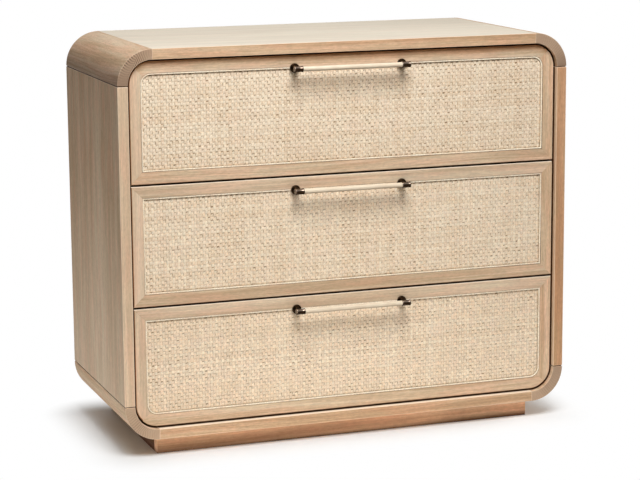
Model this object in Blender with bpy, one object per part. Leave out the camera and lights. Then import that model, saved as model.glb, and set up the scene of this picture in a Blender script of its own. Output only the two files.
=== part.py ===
"""A chest of three cane-fronted drawers in washed oak, in metres.

The chest stands on z = 0, faces -Y, and has its origin on the floor under the middle of its
bounding box. Top, bottom and side boards meet in four quarter-round corner pieces, so the
carcass is a tube with rounded corners. Each drawer front is a mitred frame on a board, with a
woven cane panel and a bead inside the frame. The drawer boxes hang on wooden runners.
"""
import math

import bmesh
import bpy
from mathutils import Matrix, Vector

# Carcass
WIDTH = 0.900
DEPTH = 0.400
HEIGHT = 0.768
BOARD = 0.020            # thickness of the top, bottom, side and corner pieces
CORNER_RADIUS = 0.066    # outside radius of the corner pieces
EASE = 0.0008            # eased edge of the carcass and plinth boards
BACK_PANEL = 0.006       # thickness of the back panel
BACK_INSET = 0.008       # back panel in from the back edges

# Plinth
PLINTH_HEIGHT = 0.035
PLINTH_BOARD = 0.018     # thickness of the plinth boards
PLINTH_SETBACK = 0.028   # plinth behind the front edge and in from the back edge
PLINTH_INSET = 0.067     # plinth in from the outside of the carcass sides

# Drawer fronts
DRAWERS = ("bottom", "middle", "top")
DRAWER_GAP = 0.0035      # gap round each drawer front
FRONT_RECESS = 0.010     # drawer fronts behind the front edge of the carcass
FRONT_BOARD = 0.016      # thickness of the board behind the frame
FRAME_WIDTH = 0.022
FRAME_THICKNESS = 0.006
BEAD_WIDTH = 0.0036
BEAD_SINK = 0.0003       # top of the bead below the face of the frame
CANE_THICKNESS = 0.003

# Drawer boxes
BOX_BOARD = 0.012        # thickness of the box sides and back
BOX_PLAY = 0.0125        # room between a box side and the carcass side
BOX_CLEARANCE = 0.0035   # room between a box and the curve of the lower corner pieces
BOX_TOP_ROOM = 0.042     # top of the box below the top of its front
BOX_BACK_ROOM = 0.012    # room between the box and the back panel
BOX_BOTTOM = 0.006       # thickness of the box bottom
BOX_BOTTOM_LIFT = 0.010  # underside of the box bottom above the lower edge of the sides
BOX_BOTTOM_GROOVE = 0.005

# Runners
RUNNER_HEIGHT = 0.018
RUNNER_BITE = 0.0055     # how far a runner reaches into the groove of a box side
RUNNER_PLAY = 0.0007     # room under and beside a runner in its groove
RUNNER_STOP = 0.0006     # front end of a runner behind the closed front board

# Pulls
PULL_CENTRES = 0.215     # between the middles of the two posts
PULL_STANDOFF = 0.024    # middle of the rod in front of the frame
ROD_RADIUS = 0.0048
TENON_RADIUS = 0.0030
TENON_LENGTH = 0.0070
FERRULE_RADIUS = 0.0058
FERRULE_LENGTH = 0.0175
POST_RADIUS = 0.0036
POST_SEAT = 0.0014       # how far the post is let into the ferrule
ROSETTE_RADIUS = 0.0091
ROSETTE_THICKNESS = 0.0040
ROSETTE_ROUND = 0.0014   # rounded front edge of the rosette

# Fit and facets
FIT = 0.0003             # gap between pieces that touch
ARC_STEPS = 12           # facets of a quarter-round corner
MITRE_STEPS = 6          # facets of the half of a rounded frame corner
TURNED_SIDES = 20        # facets round a turned piece

# Derived sizes
INNER_RADIUS = CORNER_RADIUS - BOARD
INNER_HALF_WIDTH = WIDTH / 2 - BOARD
INNER_BOTTOM = PLINTH_HEIGHT + BOARD
INNER_TOP = HEIGHT - BOARD
PULL_REACH = PULL_STANDOFF + FERRULE_RADIUS - FRONT_RECESS
CARCASS_FRONT = -(DEPTH - PULL_REACH) / 2
CARCASS_BACK = CARCASS_FRONT + DEPTH
BACK_PANEL_FACE = CARCASS_BACK - BACK_INSET - BACK_PANEL
FRONT_FACE = CARCASS_FRONT + FRONT_RECESS

FRONT_HALF_WIDTH = INNER_HALF_WIDTH - DRAWER_GAP
FRONT_RADIUS = INNER_RADIUS - DRAWER_GAP
FRONT_HEIGHT = (INNER_TOP - INNER_BOTTOM - (len(DRAWERS) + 1) * DRAWER_GAP) / len(DRAWERS)
FRONT_BOARD_FACE = FRAME_THICKNESS + FIT
BEAD_INSET = FRAME_WIDTH + FIT
CANE_INSET = BEAD_INSET + BEAD_WIDTH + FIT

CORNER_RUN = INNER_RADIUS - BOX_PLAY
CORNER_RISE = INNER_RADIUS - math.sqrt(max(INNER_RADIUS ** 2 - CORNER_RUN ** 2, 0.0))
BOX_HALF_WIDTH = INNER_HALF_WIDTH - BOX_PLAY
BOX_LOW = CORNER_RISE + BOX_CLEARANCE - DRAWER_GAP
BOX_HIGH = FRONT_HEIGHT - BOX_TOP_ROOM
BOX_FACE = FRONT_BOARD_FACE + FRONT_BOARD + FIT
BOX_END = BACK_PANEL_FACE - FRONT_FACE - BOX_BACK_ROOM
RUNNER_MIDDLE = (BOX_LOW + BOX_HIGH) / 2


def finish(name, colour, roughness, metallic=0.0):
    """A plain surface: linear colour, roughness and metallic value."""
    material = bpy.data.materials.new(name)
    material.use_nodes = True
    shader = material.node_tree.nodes["Principled BSDF"]
    shader.inputs["Base Color"].default_value = (*colour, 1.0)
    shader.inputs["Roughness"].default_value = roughness
    shader.inputs["Metallic"].default_value = metallic
    material.diffuse_color = (*colour, 1.0)
    return material


def make_finishes():
    """The seven finishes of the chest, by name."""
    return {
        "oak": finish("washed_oak", (0.58, 0.44, 0.31), 0.55),
        "plinth": finish("plinth_oak", (0.42, 0.26, 0.16), 0.60),
        "cane": finish("woven_cane", (0.72, 0.58, 0.40), 0.65),
        "bead": finish("cane_bead", (0.86, 0.79, 0.60), 0.50),
        "box": finish("drawer_box_birch", (0.66, 0.54, 0.38), 0.60),
        "bronze": finish("dark_bronze", (0.035, 0.022, 0.014), 0.35, 0.9),
        "rod": finish("pale_rod", (0.84, 0.78, 0.66), 0.40),
    }


def add_piece(name, mesh, material, parent=None, location=(0.0, 0.0, 0.0)):
    """One named piece of the chest."""
    piece = bpy.data.objects.new(name, mesh)
    mesh.name = name
    if not mesh.materials:
        mesh.materials.append(material)
    piece.parent = parent
    piece.location = location
    bpy.context.scene.collection.objects.link(piece)
    return piece


def ease_edges(piece):
    """Takes the sharp edges off a board."""
    bevel = piece.modifiers.new("eased_edges", "BEVEL")
    bevel.width = EASE
    bevel.segments = 1
    bevel.limit_method = "ANGLE"
    bevel.angle_limit = math.radians(40)


def close_mesh(shape, smooth=False):
    """Turns a bmesh into a mesh with its faces pointing out."""
    bmesh.ops.recalc_face_normals(shape, faces=shape.faces)
    mesh = bpy.data.meshes.new("piece")
    shape.to_mesh(mesh)
    shape.free()
    if smooth:
        mesh.shade_smooth()
        mesh.set_sharp_from_angle(angle=math.radians(40))
    return mesh


def block(low, high):
    """A rectangular board between two opposite corners."""
    low = Vector(low)
    high = Vector(high)
    place = Matrix.Translation((low + high) / 2) @ Matrix.Diagonal((*(high - low), 1.0))
    shape = bmesh.new()
    bmesh.ops.create_cube(shape, size=1.0, matrix=place)
    return close_mesh(shape)


def extrusion(outline, front, back, smooth=False):
    """A solid with one outline in X and Z, carried along Y from front to back."""
    shape = bmesh.new()
    face = shape.faces.new([shape.verts.new((x, front, z)) for x, z in outline])
    carried = bmesh.ops.extrude_face_region(shape, geom=[face])["geom"]
    moved = [part for part in carried if isinstance(part, bmesh.types.BMVert)]
    bmesh.ops.translate(shape, verts=moved, vec=(0.0, back - front, 0.0))
    return close_mesh(shape, smooth)


def skin(rings, closed_path):
    """A closed solid over equal rings of points, capped at both ends or joined end to end."""
    shape = bmesh.new()
    loops = [[shape.verts.new(point) for point in ring] for ring in rings]
    count = len(loops[0])
    pairs = list(zip(loops, loops[1:]))
    if closed_path:
        pairs.append((loops[-1], loops[0]))
    else:
        shape.faces.new(loops[0])
        shape.faces.new(loops[-1])
    for first, second in pairs:
        for i in range(count):
            j = (i + 1) % count
            shape.faces.new((first[i], first[j], second[j], second[i]))
    return close_mesh(shape, smooth=True)


def turned(profile, along):
    """A turned solid: (position, radius) pairs spun about the X or the Y axis."""
    rings = []
    for position, radius in profile:
        ring = []
        for k in range(TURNED_SIDES):
            angle = 2 * math.pi * k / TURNED_SIDES
            across = radius * math.cos(angle)
            up = radius * math.sin(angle)
            ring.append((position, across, up) if along == "X" else (across, position, up))
        rings.append(ring)
    return skin(rings, closed_path=False)


def arc(centre_x, centre_z, radius, start, end, steps):
    """Points on an arc between two angles in degrees, or its centre where there is no radius."""
    if radius <= 0.0:
        return [(centre_x, centre_z)]
    points = []
    for k in range(steps + 1):
        angle = math.radians(start + (end - start) * k / steps)
        points.append((centre_x + radius * math.cos(angle), centre_z + radius * math.sin(angle)))
    return points


def rounded_outline(half_width, bottom, top, low_radius, high_radius, inset=0.0):
    """A rectangle with rounded lower and upper corners, drawn in by an even inset."""
    low_centre = max(low_radius, inset)
    high_centre = max(high_radius, inset)
    low_arc = low_radius - inset
    high_arc = high_radius - inset
    low_x = half_width - low_centre
    high_x = half_width - high_centre
    return (
        arc(low_x, bottom + low_centre, low_arc, -90, 0, ARC_STEPS)
        + arc(high_x, top - high_centre, high_arc, 0, 90, ARC_STEPS)
        + arc(-high_x, top - high_centre, high_arc, 90, 180, ARC_STEPS)
        + arc(-low_x, bottom + low_centre, low_arc, 180, 270, ARC_STEPS)
    )


def mitred_end(radius):
    """Outer and inner points of a frame member at its +u end, measured from the outer corner."""
    half_fit = FIT / 2
    if radius <= FRAME_WIDTH:
        slip = half_fit * math.sqrt(2)
        return [(-slip, 0.0)], [(-FRAME_WIDTH - slip, -FRAME_WIDTH)]
    inner = radius - FRAME_WIDTH
    outer_mitre = 45 + math.degrees(math.asin(half_fit / radius))
    inner_mitre = 45 + math.degrees(math.asin(min(half_fit / inner, 0.5)))
    return (
        arc(-radius, -radius, radius, 90, outer_mitre, MITRE_STEPS),
        arc(-radius, -radius, inner, 90, inner_mitre, MITRE_STEPS),
    )


def mitred_member(length, start_radius, end_radius):
    """A mitred frame member along u, its outer edge on w = 0 and its inner edge below."""
    end_outer, end_inner = mitred_end(end_radius)
    start_outer, start_inner = mitred_end(start_radius)
    half = length / 2
    outline = [(-half - u, w) for u, w in reversed(start_outer)]
    outline += [(half + u, w) for u, w in end_outer]
    outline += [(half + u, w) for u, w in reversed(end_inner)]
    outline += [(-half - u, w) for u, w in start_inner]
    return outline


def add_carcass(finishes):
    """Boards, corner pieces, back panel and plinth."""
    oak = finishes["oak"]
    flat_x = WIDTH / 2 - CORNER_RADIUS
    flat_low = PLINTH_HEIGHT + CORNER_RADIUS
    flat_high = HEIGHT - CORNER_RADIUS
    front, back = CARCASS_FRONT, CARCASS_BACK
    boards = {
        "top_board": ((-flat_x + FIT, front, INNER_TOP), (flat_x - FIT, back, HEIGHT)),
        "bottom_board": ((-flat_x + FIT, front, PLINTH_HEIGHT), (flat_x - FIT, back, INNER_BOTTOM)),
        "left_side_board": (
            (-WIDTH / 2, front, flat_low + FIT),
            (-INNER_HALF_WIDTH, back, flat_high - FIT),
        ),
        "right_side_board": (
            (INNER_HALF_WIDTH, front, flat_low + FIT),
            (WIDTH / 2, back, flat_high - FIT),
        ),
    }
    for name, (low, high) in boards.items():
        ease_edges(add_piece(name, block(low, high), oak))

    corners = {
        "top_right_corner": (flat_x, flat_high, 0),
        "top_left_corner": (-flat_x, flat_high, 90),
        "bottom_left_corner": (-flat_x, flat_low, 180),
        "bottom_right_corner": (flat_x, flat_low, 270),
    }
    for name, (x, z, turn) in corners.items():
        outline = arc(x, z, CORNER_RADIUS, turn, turn + 90, ARC_STEPS)
        outline += arc(x, z, INNER_RADIUS, turn + 90, turn, ARC_STEPS)
        ease_edges(add_piece(name, extrusion(outline, front, back, smooth=True), oak))

    back_outline = rounded_outline(
        INNER_HALF_WIDTH, INNER_BOTTOM, INNER_TOP, INNER_RADIUS, INNER_RADIUS, inset=FIT
    )
    back_panel = extrusion(back_outline, BACK_PANEL_FACE, BACK_PANEL_FACE + BACK_PANEL)
    add_piece("back_panel", back_panel, finishes["box"])
    add_plinth(finishes["plinth"])


def add_plinth(material):
    """A front board between two side boards, left open towards the wall."""
    top = PLINTH_HEIGHT - FIT
    outside = WIDTH / 2 - PLINTH_INSET
    inside = outside - PLINTH_BOARD
    front = CARCASS_FRONT + PLINTH_SETBACK
    back = CARCASS_BACK - PLINTH_SETBACK
    side_front = front + PLINTH_BOARD + FIT
    boards = {
        "plinth_front_board": ((-outside, front, 0.0), (outside, front + PLINTH_BOARD, top)),
        "plinth_left_board": ((-outside, side_front, 0.0), (-inside, back, top)),
        "plinth_right_board": ((inside, side_front, 0.0), (outside, back, top)),
    }
    for name, (low, high) in boards.items():
        ease_edges(add_piece(name, block(low, high), material))


def add_runners(drawer, front_low, material):
    """Two wooden runners on the carcass sides, which the drawer's box hangs on."""
    front = FRONT_FACE + BOX_FACE + RUNNER_STOP
    back = BACK_PANEL_FACE - FIT
    low = front_low + RUNNER_MIDDLE - RUNNER_HEIGHT / 2
    high = low + RUNNER_HEIGHT
    outer = INNER_HALF_WIDTH - FIT
    inner = BOX_HALF_WIDTH - RUNNER_BITE
    add_piece(f"{drawer}_left_runner", block((-outer, front, low), (-inner, back, high)), material)
    add_piece(f"{drawer}_right_runner", block((inner, front, low), (outer, back, high)), material)


def box_side_outline(side):
    """Section of a box side: runner groove outside, groove for the bottom inside."""
    outer = BOX_HALF_WIDTH
    inner = outer - BOX_BOARD
    runner_floor = outer - RUNNER_BITE - RUNNER_PLAY
    runner_low = RUNNER_MIDDLE - RUNNER_HEIGHT / 2 - RUNNER_PLAY
    runner_high = RUNNER_MIDDLE + RUNNER_HEIGHT / 2 + FIT
    bottom_floor = inner + BOX_BOTTOM_GROOVE
    bottom_low = BOX_LOW + BOX_BOTTOM_LIFT - FIT
    bottom_high = BOX_LOW + BOX_BOTTOM_LIFT + BOX_BOTTOM + FIT
    outline = [
        (outer, BOX_LOW), (outer, runner_low), (runner_floor, runner_low),
        (runner_floor, runner_high), (outer, runner_high), (outer, BOX_HIGH),
        (inner, BOX_HIGH), (inner, bottom_high), (bottom_floor, bottom_high),
        (bottom_floor, bottom_low), (inner, bottom_low), (inner, BOX_LOW),
    ]
    return [(side * x, z) for x, z in outline]


def add_box(drawer, parent, material):
    """Sides, back and bottom of a drawer box, behind its front board."""
    for word, side in (("left", -1), ("right", 1)):
        mesh = extrusion(box_side_outline(side), BOX_FACE, BOX_END)
        add_piece(f"{drawer}_drawer_{word}_side", mesh, material, parent)

    inner = BOX_HALF_WIDTH - BOX_BOARD
    bottom_half = inner + BOX_BOTTOM_GROOVE - FIT
    bottom_low = BOX_LOW + BOX_BOTTOM_LIFT
    bottom_high = bottom_low + BOX_BOTTOM
    bottom = block((-bottom_half, BOX_FACE, bottom_low), (bottom_half, BOX_END, bottom_high))
    add_piece(f"{drawer}_drawer_bottom", bottom, material, parent)

    back_half = inner - FIT
    back_low = bottom_high + FIT
    back = block((-back_half, BOX_END - BOX_BOARD, back_low), (back_half, BOX_END, BOX_HIGH))
    add_piece(f"{drawer}_drawer_back", back, material, parent)


def bead_mesh(low_radius, high_radius):
    """A flat-backed, round-topped bead that follows the inside of the frame."""
    half = BEAD_WIDTH / 2
    crown = BEAD_SINK + half
    section = [(0.0, FRAME_THICKNESS), (0.0, crown)]
    for degrees in (45, 90, 135):
        turn = math.radians(degrees)
        section.append((half - half * math.cos(turn), crown - half * math.sin(turn)))
    section += [(BEAD_WIDTH, crown), (BEAD_WIDTH, FRAME_THICKNESS)]
    loops = []
    for offset, depth in section:
        outline = rounded_outline(
            FRONT_HALF_WIDTH, 0.0, FRONT_HEIGHT, low_radius, high_radius, BEAD_INSET + offset
        )
        loops.append([(x, depth, z) for x, z in outline])
    return skin(loops, closed_path=True)


def add_front(drawer, parent, low_radius, high_radius, finishes):
    """Front board, mitred frame, cane panel and bead of one drawer."""
    whole = rounded_outline(FRONT_HALF_WIDTH, 0.0, FRONT_HEIGHT, low_radius, high_radius)
    board = extrusion(whole, FRONT_BOARD_FACE, FRONT_BOARD_FACE + FRONT_BOARD)
    add_piece(f"{drawer}_drawer_front_board", board, finishes["oak"], parent)

    middle = FRONT_HEIGHT / 2
    rail_high = mitred_member(2 * FRONT_HALF_WIDTH, high_radius, high_radius)
    rail_low = mitred_member(2 * FRONT_HALF_WIDTH, low_radius, low_radius)
    stile = mitred_member(FRONT_HEIGHT, low_radius, high_radius)
    members = {
        "top_rail": [(u, FRONT_HEIGHT + w) for u, w in rail_high],
        "bottom_rail": [(-u, -w) for u, w in rail_low],
        "left_stile": [(-FRONT_HALF_WIDTH - w, middle + u) for u, w in stile],
        "right_stile": [(FRONT_HALF_WIDTH + w, middle + u) for u, w in stile],
    }
    for word, outline in members.items():
        mesh = extrusion(outline, 0.0, FRAME_THICKNESS)
        add_piece(f"{drawer}_drawer_{word}", mesh, finishes["oak"], parent)

    cane_outline = rounded_outline(
        FRONT_HALF_WIDTH, 0.0, FRONT_HEIGHT, low_radius, high_radius, CANE_INSET
    )
    cane = extrusion(cane_outline, FRAME_THICKNESS - CANE_THICKNESS, FRAME_THICKNESS)
    add_piece(f"{drawer}_drawer_cane_panel", cane, finishes["cane"], parent)
    bead = bead_mesh(low_radius, high_radius)
    add_piece(f"{drawer}_drawer_bead", bead, finishes["bead"], parent)


def pull_rod_mesh():
    """A turned rod between the ferrules, with a tenon on each end."""
    shoulder = PULL_CENTRES / 2 - FERRULE_LENGTH / 2 - FIT
    end = shoulder + FIT + TENON_LENGTH
    return turned(
        [
            (-end, TENON_RADIUS), (-shoulder, TENON_RADIUS), (-shoulder, ROD_RADIUS),
            (shoulder, ROD_RADIUS), (shoulder, TENON_RADIUS), (end, TENON_RADIUS),
        ],
        along="X",
    )


def pull_end_mesh():
    """Rosette, post and ferrule as one casting, the ferrule bored from +X for the rod's tenon."""
    rosette_back = PULL_STANDOFF - FIT
    rosette_front = rosette_back - ROSETTE_THICKNESS
    post_end = FERRULE_RADIUS - POST_SEAT
    stem = turned(
        [
            (rosette_back, ROSETTE_RADIUS),
            (rosette_front + ROSETTE_ROUND, ROSETTE_RADIUS),
            (rosette_front, ROSETTE_RADIUS - ROSETTE_ROUND),
            (rosette_front, POST_RADIUS),
            (post_end, POST_RADIUS),
        ],
        along="Y",
    )
    half = FERRULE_LENGTH / 2
    bore_radius = TENON_RADIUS + FIT
    bore_floor = half - TENON_LENGTH - FIT
    ferrule = turned(
        [
            (-half, FERRULE_RADIUS), (half, FERRULE_RADIUS),
            (half, bore_radius), (bore_floor, bore_radius),
        ],
        along="X",
    )
    return joined(stem, ferrule)


def joined(mesh, other):
    """Two overlapping meshes as one solid."""
    body = bpy.data.objects.new("body", mesh)
    addition = bpy.data.objects.new("addition", other)
    for part in (body, addition):
        bpy.context.scene.collection.objects.link(part)
    union = body.modifiers.new("union", "BOOLEAN")
    union.operation = "UNION"
    union.object = addition
    bpy.context.view_layer.update()
    graph = bpy.context.evaluated_depsgraph_get()
    result = bpy.data.meshes.new_from_object(body.evaluated_get(graph))
    for part in (body, addition):
        bpy.data.objects.remove(part, do_unlink=True)
    return result


def add_pull(drawer, parent, rod, end, finishes):
    """A bar pull over the bead at the top of the frame: a rod between two bronze ends."""
    height = FRONT_HEIGHT - BEAD_INSET - BEAD_WIDTH / 2
    half = PULL_CENTRES / 2
    forward = -PULL_STANDOFF
    add_piece(f"{drawer}_drawer_pull_rod", rod, finishes["rod"], parent, (0.0, forward, height))
    add_piece(f"{drawer}_drawer_pull_left_end", end, finishes["bronze"], parent, (-half, forward, height))
    right = add_piece(
        f"{drawer}_drawer_pull_right_end", end, finishes["bronze"], parent, (half, forward, height)
    )
    right.rotation_euler = (0.0, math.pi, 0.0)


def add_drawers(finishes):
    """Three equal drawers, each under an empty on the face of its front."""
    rod = pull_rod_mesh()
    end = pull_end_mesh()
    for k, drawer in enumerate(DRAWERS):
        front_low = INNER_BOTTOM + DRAWER_GAP + k * (FRONT_HEIGHT + DRAWER_GAP)
        slide = bpy.data.objects.new(f"{drawer}_drawer", None)
        slide.location = (0.0, FRONT_FACE, front_low)
        bpy.context.scene.collection.objects.link(slide)
        low_radius = FRONT_RADIUS if k == 0 else 0.0
        high_radius = FRONT_RADIUS if k == len(DRAWERS) - 1 else 0.0
        add_front(drawer, slide, low_radius, high_radius, finishes)
        add_box(drawer, slide, finishes["box"])
        add_pull(drawer, slide, rod, end, finishes)
        add_runners(drawer, front_low, finishes["box"])


def main():
    for old in list(bpy.data.objects):
        bpy.data.objects.remove(old, do_unlink=True)
    finishes = make_finishes()
    add_carcass(finishes)
    add_drawers(finishes)
    bpy.context.view_layer.update()


main()
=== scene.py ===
"""Looks of a washed-oak chest with three cane-fronted drawers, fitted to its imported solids."""
import math

import bpy
import numpy as np
from mathutils import Matrix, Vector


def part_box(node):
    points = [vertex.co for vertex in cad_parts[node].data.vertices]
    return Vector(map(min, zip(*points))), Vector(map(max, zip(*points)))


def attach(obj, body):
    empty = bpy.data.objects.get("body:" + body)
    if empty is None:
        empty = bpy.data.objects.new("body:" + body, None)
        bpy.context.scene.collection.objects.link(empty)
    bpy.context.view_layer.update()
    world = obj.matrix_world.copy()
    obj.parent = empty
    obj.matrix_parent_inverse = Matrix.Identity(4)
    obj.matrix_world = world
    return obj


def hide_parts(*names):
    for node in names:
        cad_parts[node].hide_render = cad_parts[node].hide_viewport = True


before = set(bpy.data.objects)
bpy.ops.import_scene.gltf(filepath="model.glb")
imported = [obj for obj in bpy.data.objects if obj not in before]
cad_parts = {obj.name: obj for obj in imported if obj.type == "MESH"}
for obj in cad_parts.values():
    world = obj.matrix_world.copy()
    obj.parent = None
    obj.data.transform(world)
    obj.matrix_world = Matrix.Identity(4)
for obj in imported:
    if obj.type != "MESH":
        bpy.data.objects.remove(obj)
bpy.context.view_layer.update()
scene = bpy.context.scene
chance = np.random.default_rng(11)

# Sizes shared with the solids, in metres
BOARD = 0.020
CORNER_RADIUS = 0.066
FRONT_RADIUS = 0.0425        # rounded corners of the upper and lower drawer fronts
FRAME_WIDTH = 0.022
FRAME_THICKNESS = 0.006
BEAD_INSET = 0.0223          # bead in from the edge of a front
BEAD_WIDTH = 0.0036
CANE_INSET = 0.0262          # cane panel in from the edge of a front
PULL_CENTRES = 0.215
ROD_RADIUS = 0.0048
FERRULE_RADIUS = 0.0058
FERRULE_LENGTH = 0.0175
POST_RADIUS = 0.0036
ROSETTE_RADIUS = 0.0091
ROSETTE_THICKNESS = 0.0040
FIT = 0.0003                 # gap between pieces that touch
DRAWERS = ("bottom", "middle", "top")

# Edges, in metres
RIM_EASE = 0.0009            # front and back edges of the carcass boards
TIGHT_EASE = 0.0003          # edges along a tight seam
GROOVE_EASE = 0.0009         # edges along the grooved seam between a side and a corner piece
INNER_EASE = 0.0006          # inside edges of the carcass
HIDDEN_EASE = 0.0002         # edges out of sight
FRAME_EASE = {"top_rail": 0.0010, "bottom_rail": 0.0006, "left_stile": 0.0013, "right_stile": 0.0006}
LEAST_EASE = 0.00004         # radius that stays where an inset takes up a whole ease
HOLD = 0.0004                # flat strip kept beside an eased edge
FACE_ROOM = TIGHT_EASE / 2   # points this near to a face belong to it
SHARP_DEGREES = 48.0         # edges that turn further than this stay sharp
EASE_STEPS = 3               # flats of an eased edge
MITRE_POINTS = 13            # along the rounded end of a frame member
LOOP_POINTS = 17             # along a rounded corner of the bead
BEAD_POINTS = 9              # over the crown of the bead

# Seams and gaps, in metres
GROOVE = 0.0015              # extra width of the grooved seam, taken off the side board
GROOVE_DEPTH = 0.0020        # how far in the spline lies that fills the seam, at front and back
GROOVE_SIDE_DEPTH = 0.0010   # the same at the outer and inner faces
GROOVE_LAP = 0.0002          # spline past the seam, above and below
FRAME_TRIM = 0.0001          # outer edges of the frames drawn in
LEFT_STILE_TRIM = 0.0006     # the same on the left stiles
MITRE_SLIP = 0.35 * FIT      # frame members cut short at the mitre

# Marks on the points, from 0 to 1, for painted shade and highlights and for tones; a wash is white above 0
# and amber below it
INSIDE_SHADE_START = 0.0088         # where the painted shade inside the carcass begins, behind its front
INSIDE_SHADE_RUN = 0.0018           # how far it takes to its full strength
INSIDE_SHADE_DEEP = 0.85            # its full strength
GAP_SHADE_START = 0.0003     # where painted shade begins on the wood in a gap, behind the face
RAIL_SHADE_START = 0.0014    # the same on the top rails, whose upper edges catch the light
GAP_SHADE_RUN = 0.0008       # how far it takes to its full strength
BEAD_WALL_SHADE = 0.25       # share of that shade on the wall beside the bead
FOOT_SHADE_HEIGHT = 0.0125          # painted shade along the foot of the plinth, where it meets the floor
TOE_SHADE = 0.97
CORNER_WASH = -0.08
CORNER_HIGHLIGHT = 0.3            # how strong the painted highlight on the edges of the corner pieces is
# How strong the ticks of end grain are on each corner piece
CORNER_TICKS = {
    "top_left_corner": 1.0, "bottom_left_corner": 0.35, "top_right_corner": 0.2, "bottom_right_corner": 0.2,
}
CROWN_UMBER_SHADE = 0.19           # painted umber shade on the upper corners, towards the top
SIDE_UMBER_SHADE = 0.66            # the same towards the side
LOW_UMBER_SHADE = 0.06             # painted umber shade on the lower corners
LOW_RIGHT_UMBER_SHADE = 0.3        # added on the lower right corner, towards the side
FRAME_WASH = {"top_rail": 0.10, "bottom_rail": 0.02, "left_stile": 0.08, "right_stile": -0.10}
WASH_SPREAD = 0.03           # how far one frame member's wash differs from the next
# Rounded outer edges of the frames: a painted highlight on some, painted brown shade on others
FRAME_HIGHLIGHT = {"top_rail": 1.6, "bottom_rail": 0.0, "left_stile": 0.0, "right_stile": 1.0}
FRAME_EDGE_SHADE = {"top_rail": 0.0, "bottom_rail": 0.6, "left_stile": 1.0, "right_stile": 0.0}
EDGE_SHADE_DEEP = 0.45            # how dark that painted brown shade is
LEFT_STILE_PALE = 0.2        # paler wood all over the left stiles
HEAD_SHADOW = 0.8             # painted shadow of the top board, in amber, along the upper edge of the top drawer
HEAD_SHADOW_RUN = 0.018             # how far down it fades

# Wood grain: patches of noise to the metre, along, across and through the board
PITH_BEND = (1.6, 7.0, 7.0)
BROAD_STREAK = (1.1, 48.0, 9.0)
FINE_STREAK = (3.0, 230.0, 60.0)
FIBRE = (22.0, 900.0, 900.0)
FLECK = (110.0, 340.0, 340.0)
PORE = (75.0, 1500.0, 1500.0)
BLUSH = (9.0, 70.0, 70.0)
ROD_LINE = (30.0, 900.0, 900.0)
RINGS_PER_METRE = 185.0
RING_WAVER = 0.8             # how far the streaks push a ring
PITH_DROP = 0.16             # pith behind the board, in metres
PITH_LEAN = 0.035            # how far it strays, in metres
BOARD_SHIFT = (7.3, 0.37, 0.53)   # how far a board's own number moves it through the grain
END_TICK_PITCH = 0.0050      # from tick to tick on end grain, in metres
END_TICK_REACH = (0.0016, 0.0006)   # where a tick begins and is full, off its middle
END_PATCH = 38.0             # patches with strong and faint ticks
END_PATCH_SPAN = (0.15, 0.40)
END_LONG_GRAIN = 0.15        # how much long grain shows in the cut

# Wood tones: where in its noise each one shows, its share, and the values it goes between
LATE_SPAN = (0.55, 1.0)      # late wood in a ring
PORE_SPAN = (0.60, 0.72)
PORES_IN_EARLY_WOOD = 0.35
BROAD_SHARE, FINE_SHARE = 0.62, 0.38
BODY_SPAN = (0.36, 0.56)
DARK_SPAN = (0.42, 0.66)
LATE_SHARE, DARK_START, DARK_SHARE, PORE_SHARE = 0.18, 0.22, 0.42, 0.45
BLUSH_SPAN = (0.4, 0.65)
FIBRE_SHADE = (0.25, 0.75, 0.89, 1.11)
FLECK_SHADE = (0.3, 0.7, 0.91, 1.08)
WOOD_ROUGHNESS = (0.3, 0.7, 0.52, 0.66)
FIBRE_HEIGHT, PORE_DEPTH = 0.35, 0.8
EDGE_PALE = 0.55             # how much of the edge colour an eased edge takes: on the oak a paler, painted highlight
BARE_START, BARE_FULL = 0.002, 0.001   # where the board painted dark for shade turns bare, before its back face
WOOD_SHEEN = 0.08

# Cane weave
WARP_PITCH = 0.00543
WEFT_PITCH = 0.00639
WARP_WIDTH = 0.0053
WEFT_WIDTH = 0.0060
WARP_ARCH = 0.00020          # arch of a warp's face
WEFT_ARCH = 0.00035          # arch of a weft's face
STRAND_BELLY = 0.00010       # belly of a strand's back
WARP_WAVE = 0.00020          # how far a warp swings over and under
WEFT_WAVE = 0.00040          # how far a weft swings over and under
SWING_FLAT = 1.5             # how flat the tops of that swing are
WARP_STRAY = 0.00025         # how far a warp strays sideways
WEFT_STRAY = 0.00030         # how far a weft strays sideways
STRAY_WAVES = (1.0, 2.3, 4.1)
WARP_SPREAD = 0.09           # how far the widths of the warps differ
WEFT_SPREAD = 0.05           # how far the widths of the wefts differ
BEAD_GAP = 0.0002            # between the frame and the bead
BEAD_SINK = 0.0003           # crown of the bead behind the face of the frame
BEAD_LEDGE = 0.0006          # ledge of painted shade between the bead's crown and the cane
BEAD_TONE = 0.3
LEDGE_DEPTH = 0.0028         # the ledge behind the face of the frame
LEDGE_SHADE = (0.35, 0.75, 0.75, 0.75)   # from the bead's crown over the ledge to the back
CANE_DEPTH = 0.00380         # middle of the weave behind the face of the frame
EDGE_ROOM = 0.001            # left free by the outermost strands
STEPS_PER_CROSSING = 4
STRAND_SIDES = np.array([-0.5, -0.26, 0.26, 0.5, 0.0])   # points across a strand, in shares of its width
TUCK = 0.0012                # strand ends under the bead
COARSE_SHARE = {"bottom": 0.2, "middle": 0.14, "top": 0.1}   # of the warps: darker, with deeper painted shade in their hollows
TONE_SHIFT = {"bottom": 0.22, "middle": 0.08, "top": 0.0}    # towards the darker rattan
WARP_TONE = 0.9              # most of that tone in a warp that isn't coarse
WARP_HOLLOW = 1.00           # how dark the painted shade in the hollows is
WEFT_HOLLOW = 0.55
COARSE_HOLLOW = 1.3          # of a warp's hollows, where it is coarse
FINE_HOLLOW = (0.7, 1.1)     # of a warp's hollows, where it isn't
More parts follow.
